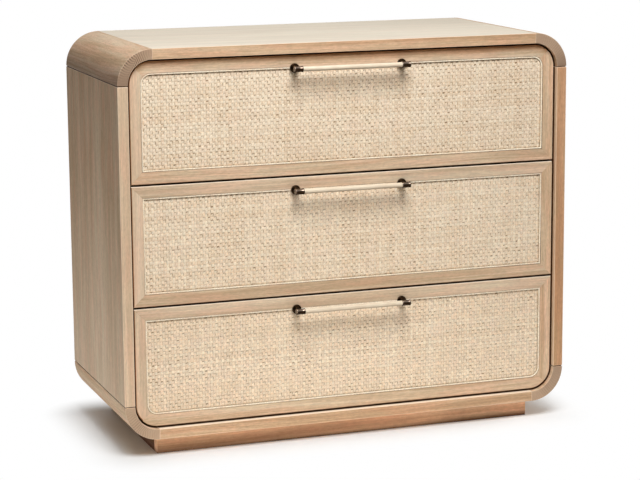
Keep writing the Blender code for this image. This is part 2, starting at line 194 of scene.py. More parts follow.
HOLLOW_SHARE = {"bottom": 0.86, "middle": 0.95, "top": 1.20}   # of those depths, drawer by drawer
UNEVEN = {"bottom": 0.75, "middle": 0.7, "top": 0.6}           # how much the tone jumps at a crossing
TONE_JUMP = (-0.17, 0.11)    # least and most of such a jump
HOLLOW_CHANCE = (0.25, 1.15)   # least and most depth of a hollow, by chance
PATCHY_HOLLOW_DEPTH = (0.8, 1.1)     # the same, patch by patch
HOLLOW_SLANT = 0.9           # lag of a hollow from one side of a strand to the other, in radians
HOLLOW_POWER = 3.5           # how short a hollow is along its strand
HOLLOW_DRIFT = 2.2           # how far a hollow strays along its strand, in radians
HOLLOW_EDGE = (-0.5, -0.1)   # a hollow fades in across this part of the strand
DRIFT_PATCH, PATCHY_HOLLOW_SCALE = 95.0, 30.0   # patches of drift, and of deeper or fainter painted shade, to the metre
PATCHY_HOLLOW_SPAN = (0.35, 0.65)
CROWN_HIGHLIGHT = 0.45             # how strong the painted highlight on a crown is

# Rattan: patches to the metre, then where each shows and the values it goes between
BLOTCH, TONE_LENGTH, RATTAN_FIBRE, KNOT, FLUSH, STRAW = 16.0, 120.0, 520.0, 75.0, 34.0, 26.0
STRAND_APART = 9.0           # how far a strand's own number moves it through the noise
STRAND_SHARE, LENGTH_SHARE, BLOTCH_SHARE = 0.5, 0.75, 0.5
RATTAN_SPAN = (0.6, 1.2)
FLUSH_SPAN = (0.45, 0.66, 0.0, 0.45)
STRAW_SPAN = (0.46, 0.66, 0.0, 0.35)
KNOT_SPAN, KNOT_SHARE = (0.70, 0.78), 0.4
RATTAN_SHADE = (0.3, 0.7, 0.82, 1.15)
RATTAN_ROUGHNESS = (0.2, 0.8, 0.42, 0.62)
RATTAN_SHEEN = 0.15

# Pulls, in metres
ROUND_SIDES = 32
ROD_POINTS = 41
ROD_TUCK = 0.001             # rod into each ferrule
ROD_TAPER = 0.012            # share by which the rod's ends are thinner
UNDER_SHADE_START = 0.15           # where the painted brown shade under the rod begins, in shares of its radius
UNDER_SHADE_MOST = 0.7
COLLAR = 0.0024              # length of a ferrule's collar
COLLAR_STEP = 0.0004         # collar over the waist
COLLAR_BEAD = 0.0005         # rounding of the collar
RIM_CURVE = ((0.0, -1.6), (0.4, -0.6), (1.0, -0.1), (1.6, 0.0))   # end of a collar, in such beads
SHOULDER_CURVE = ((-1.0, 0.0), (-0.3, -0.3))                      # its other edge
WAIST_CURVE = ((0.0, 0.2), (0.5, 0.0))                            # and on to the waist
ROSETTE_ROUND = 0.0015
POST_FILLET = 0.0020
POST_SINK = 0.0020           # post into the ferrule
STEM_STEP = 0.0003           # small steps at the rosette's back and at the foot of the post
FOOT_WIDTHS = (0.0032, 0.0022)   # foot of the post, wider than the post
TURN_POINTS = 7              # along a rounding of the rosette or post
HIGHLIGHT_DIRECTION = (0.0, -0.66, 0.75)   # upper front, where the painted highlight lies
HIGHLIGHT_START, HIGHLIGHT_RUN = 0.80, 0.15   # where the painted highlight begins along it, and how far it takes to be full
TOP_HIGHLIGHT = 0.55               # painted highlight along the upper front of a ferrule
COLLAR_HIGHLIGHT = 0.8             # painted highlight on the left rim of its collar
COLLAR_HIGHLIGHT_REACH = 0.2       # how far round that rim it goes
COLLAR_HIGHLIGHT_RINGS = 3         # rings of points on that rim
BRONZE_PATCH, BRONZE_FINE = 420.0, 2600.0   # patches to the metre
BRONZE_SPAN = (0.45, 0.75)
BRONZE_ROUGHNESS = (0.3, 0.7, 0.22, 0.13)
ROD_CLOUD = 40.0             # clouds to the metre
ROD_SPAN = (0.35, 0.65)
ROD_ROUGHNESS = (0.3, 0.7, 0.36, 0.46)
ROD_COAT, ROD_COAT_ROUGHNESS = 0.2, 0.25

# Colours
OAK = {"Pale": (0.785, 0.60, 0.43), "Body": (0.70, 0.497, 0.332), "Dark": (0.45, 0.28, 0.16)}
# painted highlight on eased edges, and the paler tone of the left stiles
OAK_HIGHLIGHT_AND_PALE = (1.0, 0.85, 0.68)
OAK_END = ((0.52, 0.37, 0.26), (0.03, 0.016, 0.01))   # cut wood and its ticks
# a redder oak, made paler to make up for the plinth's shade under the carcass: partly painted light
PLINTH_OAK = {"Pale": (0.88, 0.55, 0.345), "Body": (0.79, 0.47, 0.285), "Dark": (0.50, 0.27, 0.145)}
PLINTH_EDGE = (0.66, 0.45, 0.30)
# painted shade: dark brown on the drawer front boards, seen in the gaps and through the cane
SHADE_BACKING = {"Pale": (0.06, 0.027, 0.012), "Body": (0.045, 0.019, 0.008), "Dark": (0.03, 0.012, 0.005)}
BIRCH = {"Pale": (0.82, 0.71, 0.53), "Body": (0.74, 0.61, 0.42), "Dark": (0.55, 0.40, 0.24)}
COOL_BLUSH, WARM_BLUSH = (0.97, 1.01, 1.0), (1.04, 0.99, 0.98)
LIMED = (0.76, 0.742, 0.65)
AMBER = (0.79, 0.565, 0.40)     # amber and umber multiply, so that the grain still shows; umber is painted shade, and amber is tone and also painted shade and shadow
# painted shade on the corner pieces, by how they face
SHADE_UMBER = (0.41, 0.38, 0.385)
# painted shade in gaps, grooves and inside the carcass, and on the plinth
SHADE_BROWN = (0.050, 0.014, 0.004)
CANE = {"Pale": (1.0, 0.83, 0.625), "Dark": (0.84, 0.61, 0.395)}
BEAD = {"Pale": (1.0, 0.91, 0.74), "Dark": (0.97, 0.86, 0.67)}
CANE_FLUSH = (0.93, 0.69, 0.51)
CANE_STRAW = (0.89, 0.745, 0.53)
# painted shade in the hollows of the weave and on the bead's ledge
CANE_SHADE = (0.24, 0.138, 0.055)
# painted highlight on the crowns of the weave
CANE_HIGHLIGHT = (1.0, 0.93, 0.80)
BRONZE_DARK, BRONZE_BROWN = (0.018, 0.009, 0.004), (0.050, 0.028, 0.014)
# painted highlight on the ferrules
BRONZE_HIGHLIGHT = (0.42, 0.33, 0.26)
ROD_CREAM, ROD_TAN = (0.85, 0.745, 0.575), (0.74, 0.61, 0.455)
# painted shade under the rod
ROD_UNDER_SHADE = (0.30, 0.19, 0.11)
FLOOR_TINTS = (0.90, 0.93, 0.95), (0.93, 0.96, 0.98)
WHITE = (1.0, 1.0, 1.0)

# Stage
FLOOR_RADIUS = 0.8
FLOOR_RINGS, FLOOR_SIDES = 24, 64
FLOOR_MARGIN = 0.02          # beyond the ends of the plinth, before the floor begins to fade
FLOOR_FADE = (0.005, 0.13)   # over which it fades to white
FLOOR_SPECK = 60.0           # specks to the metre
AMBIENT = (0.07, 0.054, 0.036)
LOW_WARM, PLINTH_WARM = (1.0, 0.88, 0.72), (1.0, 0.9, 0.78)

# Photograph's viewpoint
FOCAL_LENGTH_MM = 120.3
SENSOR_WIDTH_MM = 36.0
VIEWPOINT = (-1.4112, -3.9347, 1.1398)
VIEW_YAW = 0.3457
VIEW_PITCH = -0.1855
VIEW_ROLL = -0.0069


# Surfaces

def net(rows, columns, join_rows=False, join_columns=False):
    """Four-cornered faces over a grid of points, closed on itself along either direction if asked."""
    r = np.arange(rows if join_rows else rows - 1)[:, None]
    c = np.arange(columns if join_columns else columns - 1)[None, :]
    r_next = (r + 1) % rows
    c_next = (c + 1) % columns
    corners = (r * columns + c, r * columns + c_next, r_next * columns + c_next, r_next * columns + c)
    return np.stack([np.broadcast_to(k, (r.size, c.size)) for k in corners], -1).reshape(-1, 4)


def tube(rows, columns):
    """Faces of a tube of rings: the net round it, and flat faces on its first and last rings."""
    ring = np.arange(columns)
    return net(rows, columns, join_columns=True), (ring[::-1], (rows - 1) * columns + ring)


def enclosed(points, quads):
    """Signed volume under four-cornered faces: the sum of the boxes on their two triangles, over six."""
    a, b, c, d = (points[quads[:, k]] for k in range(4))
    return (np.sum(a * np.cross(b, c)) + np.sum(a * np.cross(c, d))) / 6.0


def put_piece(name, body, slot, material, points, quads, caps=(), stands_for=(), **marks):
    """A named piece from points, four-cornered faces and flat end faces, turned to face outwards."""
    points = np.asarray(points, float).reshape(-1, 3)
    loops = list(caps)
    if enclosed(points - points.mean(0), quads) < 0.0:
        quads = quads[:, ::-1]
        loops = [loop[::-1] for loop in loops]
    mesh = bpy.data.meshes.new(name)
    mesh.from_pydata(points.tolist(), [], quads.tolist() + [list(map(int, loop)) for loop in loops])
    for mark, values in marks.items():
        store = mesh.attributes.new(mark, "FLOAT", "POINT")
        spread = np.broadcast_to(np.asarray(values, np.float32), (len(points),))
        store.data.foreach_set("value", np.ascontiguousarray(spread))
    mesh.shade_smooth()
    mesh.set_sharp_from_angle(angle=math.radians(SHARP_DEGREES))
    mesh.materials.append(material)
    piece = bpy.data.objects.new(name, mesh)
    scene.collection.objects.link(piece)
    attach(piece, body)
    if stands_for:
        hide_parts(*stands_for)


def eased_outline(corners, eases, inset=0.0, divide=0):
    """Outline of a polygon with rounded corners, and a mark that is 1 on the rounding.

    Every corner moves in by the inset along the mean of its edge normals. An arc that touches
    both edges takes its place, with a point just before and just after it that keep the straight
    edges flat. Then divide more points are spread evenly along every edge.
    """
    here = np.asarray(corners, float)
    into = here - np.roll(here, 1, 0)
    into = into / np.linalg.norm(into, axis=1, keepdims=True)
    out = np.roll(into, -1, 0)
    normal_in = np.stack([into[:, 1], -into[:, 0]], 1)
    normal_out = np.stack([out[:, 1], -out[:, 0]], 1)
    shift = (normal_in + normal_out) / (1.0 + np.sum(normal_in * normal_out, 1, keepdims=True))
    here = here - inset * shift
    radius = np.maximum(np.asarray(eases, float) - inset, LEAST_EASE)
    turn = np.arctan2(into[:, 0] * out[:, 1] - into[:, 1] * out[:, 0], np.sum(into * out, 1))
    reach = radius * np.tan(np.abs(turn) / 2)
    start = here - into * reach[:, None]
    end = here + out * reach[:, None]
    spoke = normal_in * (radius * np.sign(turn))[:, None]
    centre = start - spoke
    angle = turn[:, None] * np.linspace(0.0, 1.0, EASE_STEPS + 1)
    across = np.stack([-spoke[:, 1], spoke[:, 0]], 1)
    arc = (
        centre[:, None]
        + np.cos(angle)[..., None] * spoke[:, None]
        + np.sin(angle)[..., None] * across[:, None]
    )
    before = (start - into * HOLD)[:, None]
    after = (end + out * HOLD)[:, None]
    share = np.linspace(0.0, 1.0, divide + 2)[1:-1][None, :, None]
    along = after + (np.roll(before, -1, 0) - after) * share
    points = np.concatenate([before, arc, after, along], 1)
    rounding = np.zeros(points.shape[:2])
    rounding[:, 1:EASE_STEPS + 2] = 1.0
    return points.reshape(-1, 2), rounding.ravel()


def eased_bar(section_at, low, high, ease, stops=()):
    """A section in X and Z carried along Y from low to high, with marks for its edges and ends.

    section_at(inset) gives the section drawn in by an inset. At both ends the inset grows as the
    end comes nearer, on a quarter circle, and the last ring closes as a flat face. Stops are
    depths behind the front that get a ring of their own.
    """
    turn = np.linspace(0.0, np.pi / 2, EASE_STEPS + 1)
    inset = np.concatenate([[ease + HOLD], ease * (1 - np.sin(turn)), [0.0]])
    depth = np.concatenate([[0.0], ease * (1 - np.cos(turn)), [ease + HOLD]])
    rim = np.concatenate([[0.0], np.ones(EASE_STEPS + 1), [0.0]])
    cap = np.concatenate([[1.0, 1.0], np.zeros(EASE_STEPS + 1)])
    rings = [section_at(step) for step in inset]
    flat = np.stack([ring for ring, rounding in rings])
    rounding = np.stack([rounding for ring, rounding in rings])
    front = np.insert(flat, 1, (low + depth)[:, None], axis=2)
    back = np.insert(flat, 1, (high - depth)[:, None], axis=2)[::-1]
    middle = [np.insert(flat[-1], 1, low + stop, axis=1)[None] for stop in stops]
    points = np.concatenate([front, *middle, back])
    edge = np.maximum(rounding * (1 - cap[:, None]), rim[:, None])
    edge = np.concatenate([edge, np.repeat(edge[-1:], len(stops), 0), edge[::-1]])
    end = np.concatenate([cap, np.zeros(len(stops)), cap[::-1]])
    end = np.broadcast_to(end[:, None], edge.shape)
    return points, *tube(*edge.shape), edge.ravel(), end.ravel()


def spun(profile, axis, centre):
    """A turned shape: (place along the axis, radius) pairs carried round the axis, flat at both ends."""
    place, radius = np.asarray(profile, float).T
    angle = np.linspace(0.0, 2 * np.pi, ROUND_SIDES, endpoint=False)
    first = radius[:, None] * np.cos(angle)
    second = radius[:, None] * np.sin(angle)
    length = np.broadcast_to(place[:, None], first.shape)
    parts = (length, first, second) if axis == "X" else (first, length, second)
    points = np.stack(parts, -1) + np.asarray(centre, float)
    return points, *tube(*first.shape)


# Shader nodes

def add_node(tree, kind, wires=None, **settings):
    """A shader node with its settings, and with its inputs set to values or colours or wired to outputs."""
    node = tree.nodes.new(kind)
    for key, value in settings.items():
        setattr(node, key, value)
    for key, value in (wires or {}).items():
        socket = node.inputs[key]
        if isinstance(value, bpy.types.NodeSocket):
            tree.links.new(value, socket)
        else:
            socket.default_value = (*value, 1.0) if socket.type == "RGBA" else value
    return node


def maths(tree, operation, first, second=0.0, clamp=False):
    """One sum on two values or outputs."""
    wires = {0: first, 1: second}
    return add_node(tree, "ShaderNodeMath", wires, operation=operation, use_clamp=clamp).outputs[0]


def times(tree, first, second, clamp=False):
    """The product of two values or outputs."""
    return maths(tree, "MULTIPLY", first, second, clamp)


def plus(tree, first, *others):
    """The sum of values or outputs."""
    for other in others:
        first = maths(tree, "ADD", first, other)
    return first


def vector_maths(tree, operation, first, second=(0.0, 0.0, 0.0)):
    """One sum on two vectors or outputs."""
    return add_node(tree, "ShaderNodeVectorMath", {0: first, 1: second}, operation=operation).outputs[0]


def vector_of(tree, x, y, z=0.0):
    """A vector from three values or outputs."""
    return add_node(tree, "ShaderNodeCombineXYZ", {"X": x, "Y": y, "Z": z}).outputs[0]


def parts_of(tree, vector):
    """The three parts of a vector, by the names X, Y and Z."""
    return add_node(tree, "ShaderNodeSeparateXYZ", {0: vector}).outputs


def mixed(tree, share, first, second, blend="MIX"):
    """Two colours mixed by a share; the mix node takes colours at inputs 6 and 7 and gives one at 2."""
    wires = {0: share, 6: first, 7: second}
    return add_node(tree, "ShaderNodeMix", wires, data_type="RGBA", blend_type=blend).outputs[2]


def toned(tree, colour, shade):
    """A colour multiplied by a grey value."""
    grey = add_node(tree, "ShaderNodeCombineColor", {0: shade, 1: shade, 2: shade}).outputs[0]
    return mixed(tree, 1.0, colour, grey, "MULTIPLY")


def remap(tree, value, low, high, to_low=0.0, to_high=1.0):
    """A value brought from one span to another with soft ends."""
    wires = {"Value": value, "From Min": low, "From Max": high, "To Min": to_low, "To Max": to_high}
    return add_node(tree, "ShaderNodeMapRange", wires, interpolation_type="SMOOTHSTEP").outputs[0]


def noise(tree, vector, scale=1.0, detail=2.0, roughness=0.5):
    """Smooth noise between 0 and 1. The scale is one number, or three that stretch it."""
    if isinstance(scale, tuple):
        vector, scale = vector_maths(tree, "MULTIPLY", vector, scale), 1.0
    wires = {"Vector": vector, "Scale": scale, "Detail": detail, "Roughness": roughness}
    return add_node(tree, "ShaderNodeTexNoise", wires).outputs[0]


def marked(tree, name):
    """A mark stored on the points of a piece, 0 where there is none."""
    return add_node(tree, "ShaderNodeAttribute", attribute_name=name).outputs["Fac"]


def object_place(tree):
    """Object coordinates."""
    return add_node(tree, "ShaderNodeTexCoord").outputs["Object"]


def seen_directly(tree):
    """1 for what the camera sees, also in a mirror or through glass, and 0 for light on other things."""
    rays = add_node(tree, "ShaderNodeLightPath").outputs
    seen = maths(tree, "MAXIMUM", rays["Is Camera Ray"], rays["Is Glossy Ray"])
    return maths(tree, "MAXIMUM", seen, rays["Is Transmission Ray"])


def new_group(name, **inputs):
    """An empty group with named inputs that puts out a colour, a roughness and a height."""
    tree = bpy.data.node_groups.new(name, "ShaderNodeTree")
    for socket, kind in inputs.items():
        tree.interface.new_socket(socket, in_out="INPUT", socket_type=f"NodeSocket{kind}")
    for socket, kind in (("Color", "Color"), ("Roughness", "Float"), ("Height", "Float")):
        tree.interface.new_socket(socket, in_out="OUTPUT", socket_type=f"NodeSocket{kind}")
    return tree, tree.nodes.new("NodeGroupInput").outputs


def put_out(tree, color, roughness, height):
    """The outputs of a group, wired."""
    out = tree.nodes.new("NodeGroupOutput").inputs
    tree.links.new(color, out["Color"])
    tree.links.new(roughness, out["Roughness"])
    tree.links.new(height, out["Height"])
    return tree


# Finishes

def wood_grain_group():
    """Growth rings round a leaning pith, streaks, flecks, fibres and open pores, along the grain's X."""
    tree, given = new_group(
        "wood_grain", Grain="Vector", Board="Float", Pale="Color", Body="Color", Dark="Color", Figure="Float"
    )
    shift = vector_of(tree, *(times(tree, given["Board"], step) for step in BOARD_SHIFT))
    place = vector_maths(tree, "ADD", given["Grain"], shift)
    parts = parts_of(tree, place)
    bend = noise(tree, place, PITH_BEND, detail=1.0)
    lean = times(tree, maths(tree, "SUBTRACT", bend, 0.5), PITH_LEAN)
    side = plus(tree, parts["Y"], lean)
    rise = plus(tree, parts["Z"], PITH_DROP, lean)
    radius = maths(tree, "SQRT", plus(tree, times(tree, side, side), times(tree, rise, rise)))
    round_pith = vector_of(tree, parts["X"], radius, parts["Y"])
    broad = noise(tree, round_pith, BROAD_STREAK, detail=3.0, roughness=0.55)
    streak = noise(tree, round_pith, FINE_STREAK, detail=3.0, roughness=0.6)
    fibre = noise(tree, place, FIBRE)
    fleck = noise(tree, place, FLECK, detail=3.0, roughness=0.65)
    pore = noise(tree, place, PORE, detail=1.0)
    blush = remap(tree, noise(tree, place, BLUSH), *BLUSH_SPAN)
    ring = plus(tree, times(tree, radius, RINGS_PER_METRE), times(tree, streak, RING_WAVER))
    late = remap(tree, maths(tree, "FRACT", ring), *LATE_SPAN)
    pores = times(tree, remap(tree, pore, *PORE_SPAN), plus(tree, PORES_IN_EARLY_WOOD, late))
    tone = plus(tree, times(tree, broad, BROAD_SHARE), times(tree, streak, FINE_SHARE))
    deep = plus(tree, remap(tree, tone, *DARK_SPAN), times(tree, late, LATE_SHARE))
    deep = times(tree, maths(tree, "SUBTRACT", deep, DARK_START), given["Figure"])
    wood = mixed(tree, remap(tree, tone, *BODY_SPAN), given["Pale"], given["Body"])
    wood = mixed(tree, times(tree, deep, DARK_SHARE, clamp=True), wood, given["Dark"])
    wood = mixed(tree, times(tree, pores, PORE_SHARE, clamp=True), wood, given["Dark"])
    shade = times(tree, remap(tree, fibre, *FIBRE_SHADE), remap(tree, fleck, *FLECK_SHADE))
    tint = mixed(tree, blush, COOL_BLUSH, WARM_BLUSH)
    wood = mixed(tree, 1.0, toned(tree, wood, shade), tint, "MULTIPLY")
    height = maths(tree, "SUBTRACT", times(tree, fibre, FIBRE_HEIGHT), times(tree, pores, PORE_DEPTH))
    return put_out(tree, wood, remap(tree, streak, *WOOD_ROUGHNESS), height)


def rattan_group():
    """Peeled rattan: a tone for each strand, slow blotches, fine fibres and a few dark knots."""
    tree, given = new_group("rattan_fibre", Place="Vector", Strand="Float", Pale="Color", Dark="Color")
    place, strand = given["Place"], given["Strand"]
    shift = vector_of(tree, strand, times(tree, strand, STRAND_APART), strand)
    own = vector_maths(tree, "ADD", place, shift)
    blotch = noise(tree, place, BLOTCH)
    length = noise(tree, own, TONE_LENGTH, detail=3.0)
    fibre = noise(tree, own, RATTAN_FIBRE, detail=4.0)
    knot = remap(tree, noise(tree, own, KNOT, detail=1.0), *KNOT_SPAN)
    flush = remap(tree, noise(tree, place, FLUSH), *FLUSH_SPAN)
    straw = remap(tree, noise(tree, own, STRAW, detail=3.0), *STRAW_SPAN)
    tone = plus(
        tree, times(tree, strand, STRAND_SHARE), times(tree, length, LENGTH_SHARE),
        times(tree, blotch, BLOTCH_SHARE),
    )
    colour = mixed(tree, remap(tree, tone, *RATTAN_SPAN), given["Pale"], given["Dark"])
    colour = mixed(tree, flush, colour, CANE_FLUSH)
    colour = mixed(tree, straw, colour, CANE_STRAW)
    colour = mixed(tree, times(tree, knot, KNOT_SHARE), colour, given["Dark"])
    colour = toned(tree, colour, remap(tree, fibre, *RATTAN_SHADE))
    return put_out(tree, colour, remap(tree, fibre, *RATTAN_ROUGHNESS), fibre)


WOOD_GRAIN = wood_grain_group()
RATTAN = rattan_group()


def new_finish(name):
    """An empty node material, its tree, its shader and its Object coordinates."""
    material = bpy.data.materials.new(name)
    material.use_nodes = True
    tree = material.node_tree
    return material, tree, tree.nodes["Principled BSDF"], object_place(tree)


def wire_surface(tree, shader, colour, roughness, height, bump, distance):
    """Colour, roughness and a bump into a shader."""
    tree.links.new(colour, shader.inputs["Base Color"])
    tree.links.new(roughness, shader.inputs["Roughness"])
    wires = {"Strength": bump, "Distance": distance, "Height": height}
    tree.links.new(add_node(tree, "ShaderNodeBump", wires).outputs[0], shader.inputs["Normal"])


def end_grain(tree, colour, board):
    """Cut wood with dark ticks round an arc, strong in some patches and gone in others."""
    cut, dark = OAK_END
    arc = marked(tree, "arc")
    line = maths(tree, "PINGPONG", arc, END_TICK_PITCH / 2)
    patch = noise(tree, vector_of(tree, arc, board), END_PATCH)
    tick = times(tree, remap(tree, line, *END_TICK_REACH), remap(tree, patch, *END_PATCH_SPAN))
    ticked = mixed(tree, times(tree, tick, marked(tree, "ticks")), cut, dark)
    return mixed(tree, marked(tree, "end"), colour, mixed(tree, END_LONG_GRAIN, ticked, colour))


def wood_finish(name, turn, wood, figure=1.0, edge=None, end=False, inside=None):
    """Wood with its grain along X, or turned to run along Y or Z.

    The marks on the points give eased edges their edge colour, a painted highlight on the oak, and
    tick end grain; they wash a face white (above 0) or leave it amber (below 0), which is tone and
    also painted sheen, shade and shadow; they turn it umber as painted shade, and paint it dark in
    gaps, grooves and other places of shade. Inside is a depth, and the colour from a little before
    that depth on.
    """
    material, tree, shader, where = new_finish(name)
    grain = add_node(tree, "ShaderNodeMapping", {"Vector": where, "Rotation": turn}).outputs[0]
    board = marked(tree, "board")
    wires = {"Grain": grain, "Board": board, "Figure": figure, **wood}
    made = add_node(tree, "ShaderNodeGroup", wires, node_tree=WOOD_GRAIN).outputs
    colour = made["Color"]
    if end:
        colour = end_grain(tree, colour, board)
    if edge:
        # painted highlight on eased oak edges, from the edge mark
        colour = mixed(tree, times(tree, marked(tree, "edge"), EDGE_PALE, clamp=True), colour, edge)
    # the wash carries tone, and also painted sheen on the top and painted shade and shadow
    wash = marked(tree, "wash")
    colour = mixed(tree, maths(tree, "MAXIMUM", wash, 0.0), colour, LIMED)
    colour = mixed(tree, maths(tree, "MAXIMUM", times(tree, wash, -1.0), 0.0), colour, AMBER, "MULTIPLY")
    # painted umber shade
    colour = mixed(tree, marked(tree, "umber"), colour, SHADE_UMBER, "MULTIPLY")
    # painted shade where the deep mark says
    colour = mixed(tree, marked(tree, "deep"), colour, SHADE_BROWN)
    if inside:
        depth, beyond = inside
        share = remap(tree, parts_of(tree, where)["Y"], depth - BARE_START, depth - BARE_FULL)
        colour = mixed(tree, share, colour, beyond)
    shader.inputs["Specular IOR Level"].default_value = WOOD_SHEEN
    wire_surface(tree, shader, colour, made["Roughness"], made["Height"], bump=0.25, distance=0.0002)
    return material


def weave_colour(tree, where, colour):
    """Colour of a strand in the weave.

    A strand gets painted shade where it comes out from under the next one: there the sine of its
    phase is high. The phase lags across the strand, so the painted shade lies aslant, and its depth
    differs from crossing to crossing and from patch to patch. The crowns between the hollows get a
    painted highlight.
    """
    side = marked(tree, "side")
    drift = maths(tree, "SUBTRACT", noise(tree, where, DRIFT_PATCH), 0.5)
    lag = plus(tree, times(tree, side, HOLLOW_SLANT), times(tree, drift, HOLLOW_DRIFT))
    phase = maths(tree, "SUBTRACT", marked(tree, "phase"), lag)
    turn = maths(tree, "FLOOR", maths(tree, "DIVIDE", phase, 2 * math.pi))
    spot = vector_of(tree, turn, marked(tree, "strand"))
    luck = add_node(tree, "ShaderNodeTexWhiteNoise", {"Vector": spot}).outputs["Value"]
    # painted shade in the hollows
    pulse = maths(tree, "POWER", maths(tree, "MAXIMUM", maths(tree, "SINE", phase), 0.0), HOLLOW_POWER)
    hollow = times(tree, pulse, remap(tree, luck, 0.0, 1.0, *HOLLOW_CHANCE))
    patchy = remap(tree, noise(tree, where, PATCHY_HOLLOW_SCALE), *PATCHY_HOLLOW_SPAN, *PATCHY_HOLLOW_DEPTH)
    hollow = times(tree, times(tree, hollow, patchy), marked(tree, "hollow"), clamp=True)
    hollow = times(tree, hollow, remap(tree, side, *HOLLOW_EDGE))
    other_luck = maths(tree, "FRACT", times(tree, luck, 7.0))
    jump = times(tree, remap(tree, other_luck, 0.0, 1.0, *TONE_JUMP), marked(tree, "uneven"))
    colour = toned(tree, colour, plus(tree, jump, 1.0))
    # painted highlight on the crowns
    colour = mixed(tree, times(tree, marked(tree, "crown"), CROWN_HIGHLIGHT), colour, CANE_HIGHLIGHT)
    return mixed(tree, hollow, colour, CANE_SHADE)


def rattan_finish(name, rattan, woven=False):
    """Peeled rattan whose tone changes from strand to strand, woven with painted shade in its hollows and
    painted highlights on its crowns, or plain with painted shade where its deep mark says.
    """
    material, tree, shader, where = new_finish(name)
    wires = {"Place": where, "Strand": marked(tree, "strand"), **rattan}
    made = add_node(tree, "ShaderNodeGroup", wires, node_tree=RATTAN).outputs
    if woven:
        colour = weave_colour(tree, where, made["Color"])
    else:
        # painted shade on the bead's ledge
        colour = mixed(tree, marked(tree, "deep"), made["Color"], CANE_SHADE)
    shader.inputs["Specular IOR Level"].default_value = RATTAN_SHEEN
    wire_surface(tree, shader, colour, made["Roughness"], made["Height"], bump=0.2, distance=0.0001)
    return material


def bronze_finish():
    """Dark bronze, browner in patches, with a painted highlight where a mark on the points says."""
    material, tree, shader, where = new_finish("dark_bronze")
    patch = noise(tree, where, BRONZE_PATCH, detail=3.0)
    fine = noise(tree, where, BRONZE_FINE)
    colour = mixed(tree, remap(tree, patch, *BRONZE_SPAN), BRONZE_DARK, BRONZE_BROWN)
    # painted highlight where the mark says
    colour = mixed(tree, marked(tree, "rubbed"), colour, BRONZE_HIGHLIGHT)
    roughness = remap(tree, patch, *BRONZE_ROUGHNESS)
    shader.inputs["Metallic"].default_value = 1.0
    wire_surface(tree, shader, colour, roughness, fine, bump=0.12, distance=0.00005)
    return material


def rod_finish():
    """Cream satin lacquer with faint clouds, a fine lengthwise grain and painted brown shade on its
    underside.
    """
    material, tree, shader, where = new_finish("pale_rod")
    cloud = noise(tree, where, ROD_CLOUD, detail=3.0)
    line = noise(tree, where, ROD_LINE)
    tone = plus(tree, times(tree, cloud, 0.5), times(tree, line, 0.5))
    colour = mixed(tree, remap(tree, tone, *ROD_SPAN), ROD_CREAM, ROD_TAN)
    # painted shade under the rod
    colour = mixed(tree, marked(tree, "under"), colour, ROD_UNDER_SHADE)
    roughness = remap(tree, line, *ROD_ROUGHNESS)
    shader.inputs["Coat Weight"].default_value = ROD_COAT
    shader.inputs["Coat Roughness"].default_value = ROD_COAT_ROUGHNESS
    wire_surface(tree, shader, colour, roughness, line, bump=0.1, distance=0.00005)
    return material


ALONG_X = (0.0, 0.0, 0.0)
ALONG_Y = (0.0, 0.0, -math.pi / 2)
ALONG_Z = (0.0, math.pi / 2, 0.0)

oak_along = {
    "X": wood_finish("washed_oak_along_x", ALONG_X, OAK, figure=1.6, edge=OAK_HIGHLIGHT_AND_PALE),
    "Y": wood_finish("washed_oak_along_y", ALONG_Y, OAK, figure=1.6, edge=OAK_HIGHLIGHT_AND_PALE, end=True),
    "Z": wood_finish("washed_oak_along_z", ALONG_Z, OAK, figure=1.25, edge=OAK_HIGHLIGHT_AND_PALE),
}
side_oak = wood_finish("washed_oak_sides", ALONG_Z, OAK, figure=0.85, edge=OAK_HIGHLIGHT_AND_PALE)
plinth_along = {
    "X": wood_finish("plinth_oak_along_x", ALONG_X, PLINTH_OAK, figure=1.35, edge=PLINTH_EDGE),
    "Y": wood_finish("plinth_oak_along_y", ALONG_Y, PLINTH_OAK, figure=1.35, edge=PLINTH_EDGE),
}
birch_along = {
    "X": wood_finish("birch_along_x", ALONG_X, BIRCH, figure=0.6),
    "Y": wood_finish("birch_along_y", ALONG_Y, BIRCH, figure=0.6),
}
# painted shade: the drawer front boards show only in the gaps and through the cane, so they are dark brown,
# with birch on their backs
shade_backing_along_x = wood_finish(
    "shade_backing_oak_along_x", ALONG_X, SHADE_BACKING,
    inside=(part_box("top_drawer_front_board")[1].y, BIRCH["Body"]),
)
cane_finish = rattan_finish("woven_cane", CANE, woven=True)
bead_finish = rattan_finish("cane_bead", BEAD)
bronze = bronze_finish()
cream = rod_finish()


# Carcass

def painted_inside_shade(depth):
    """Painted shade inside the carcass: none at its front, full from the plane of the drawer fronts on."""
    return np.clip((depth - INSIDE_SHADE_START) / INSIDE_SHADE_RUN, 0.0, 1.0)


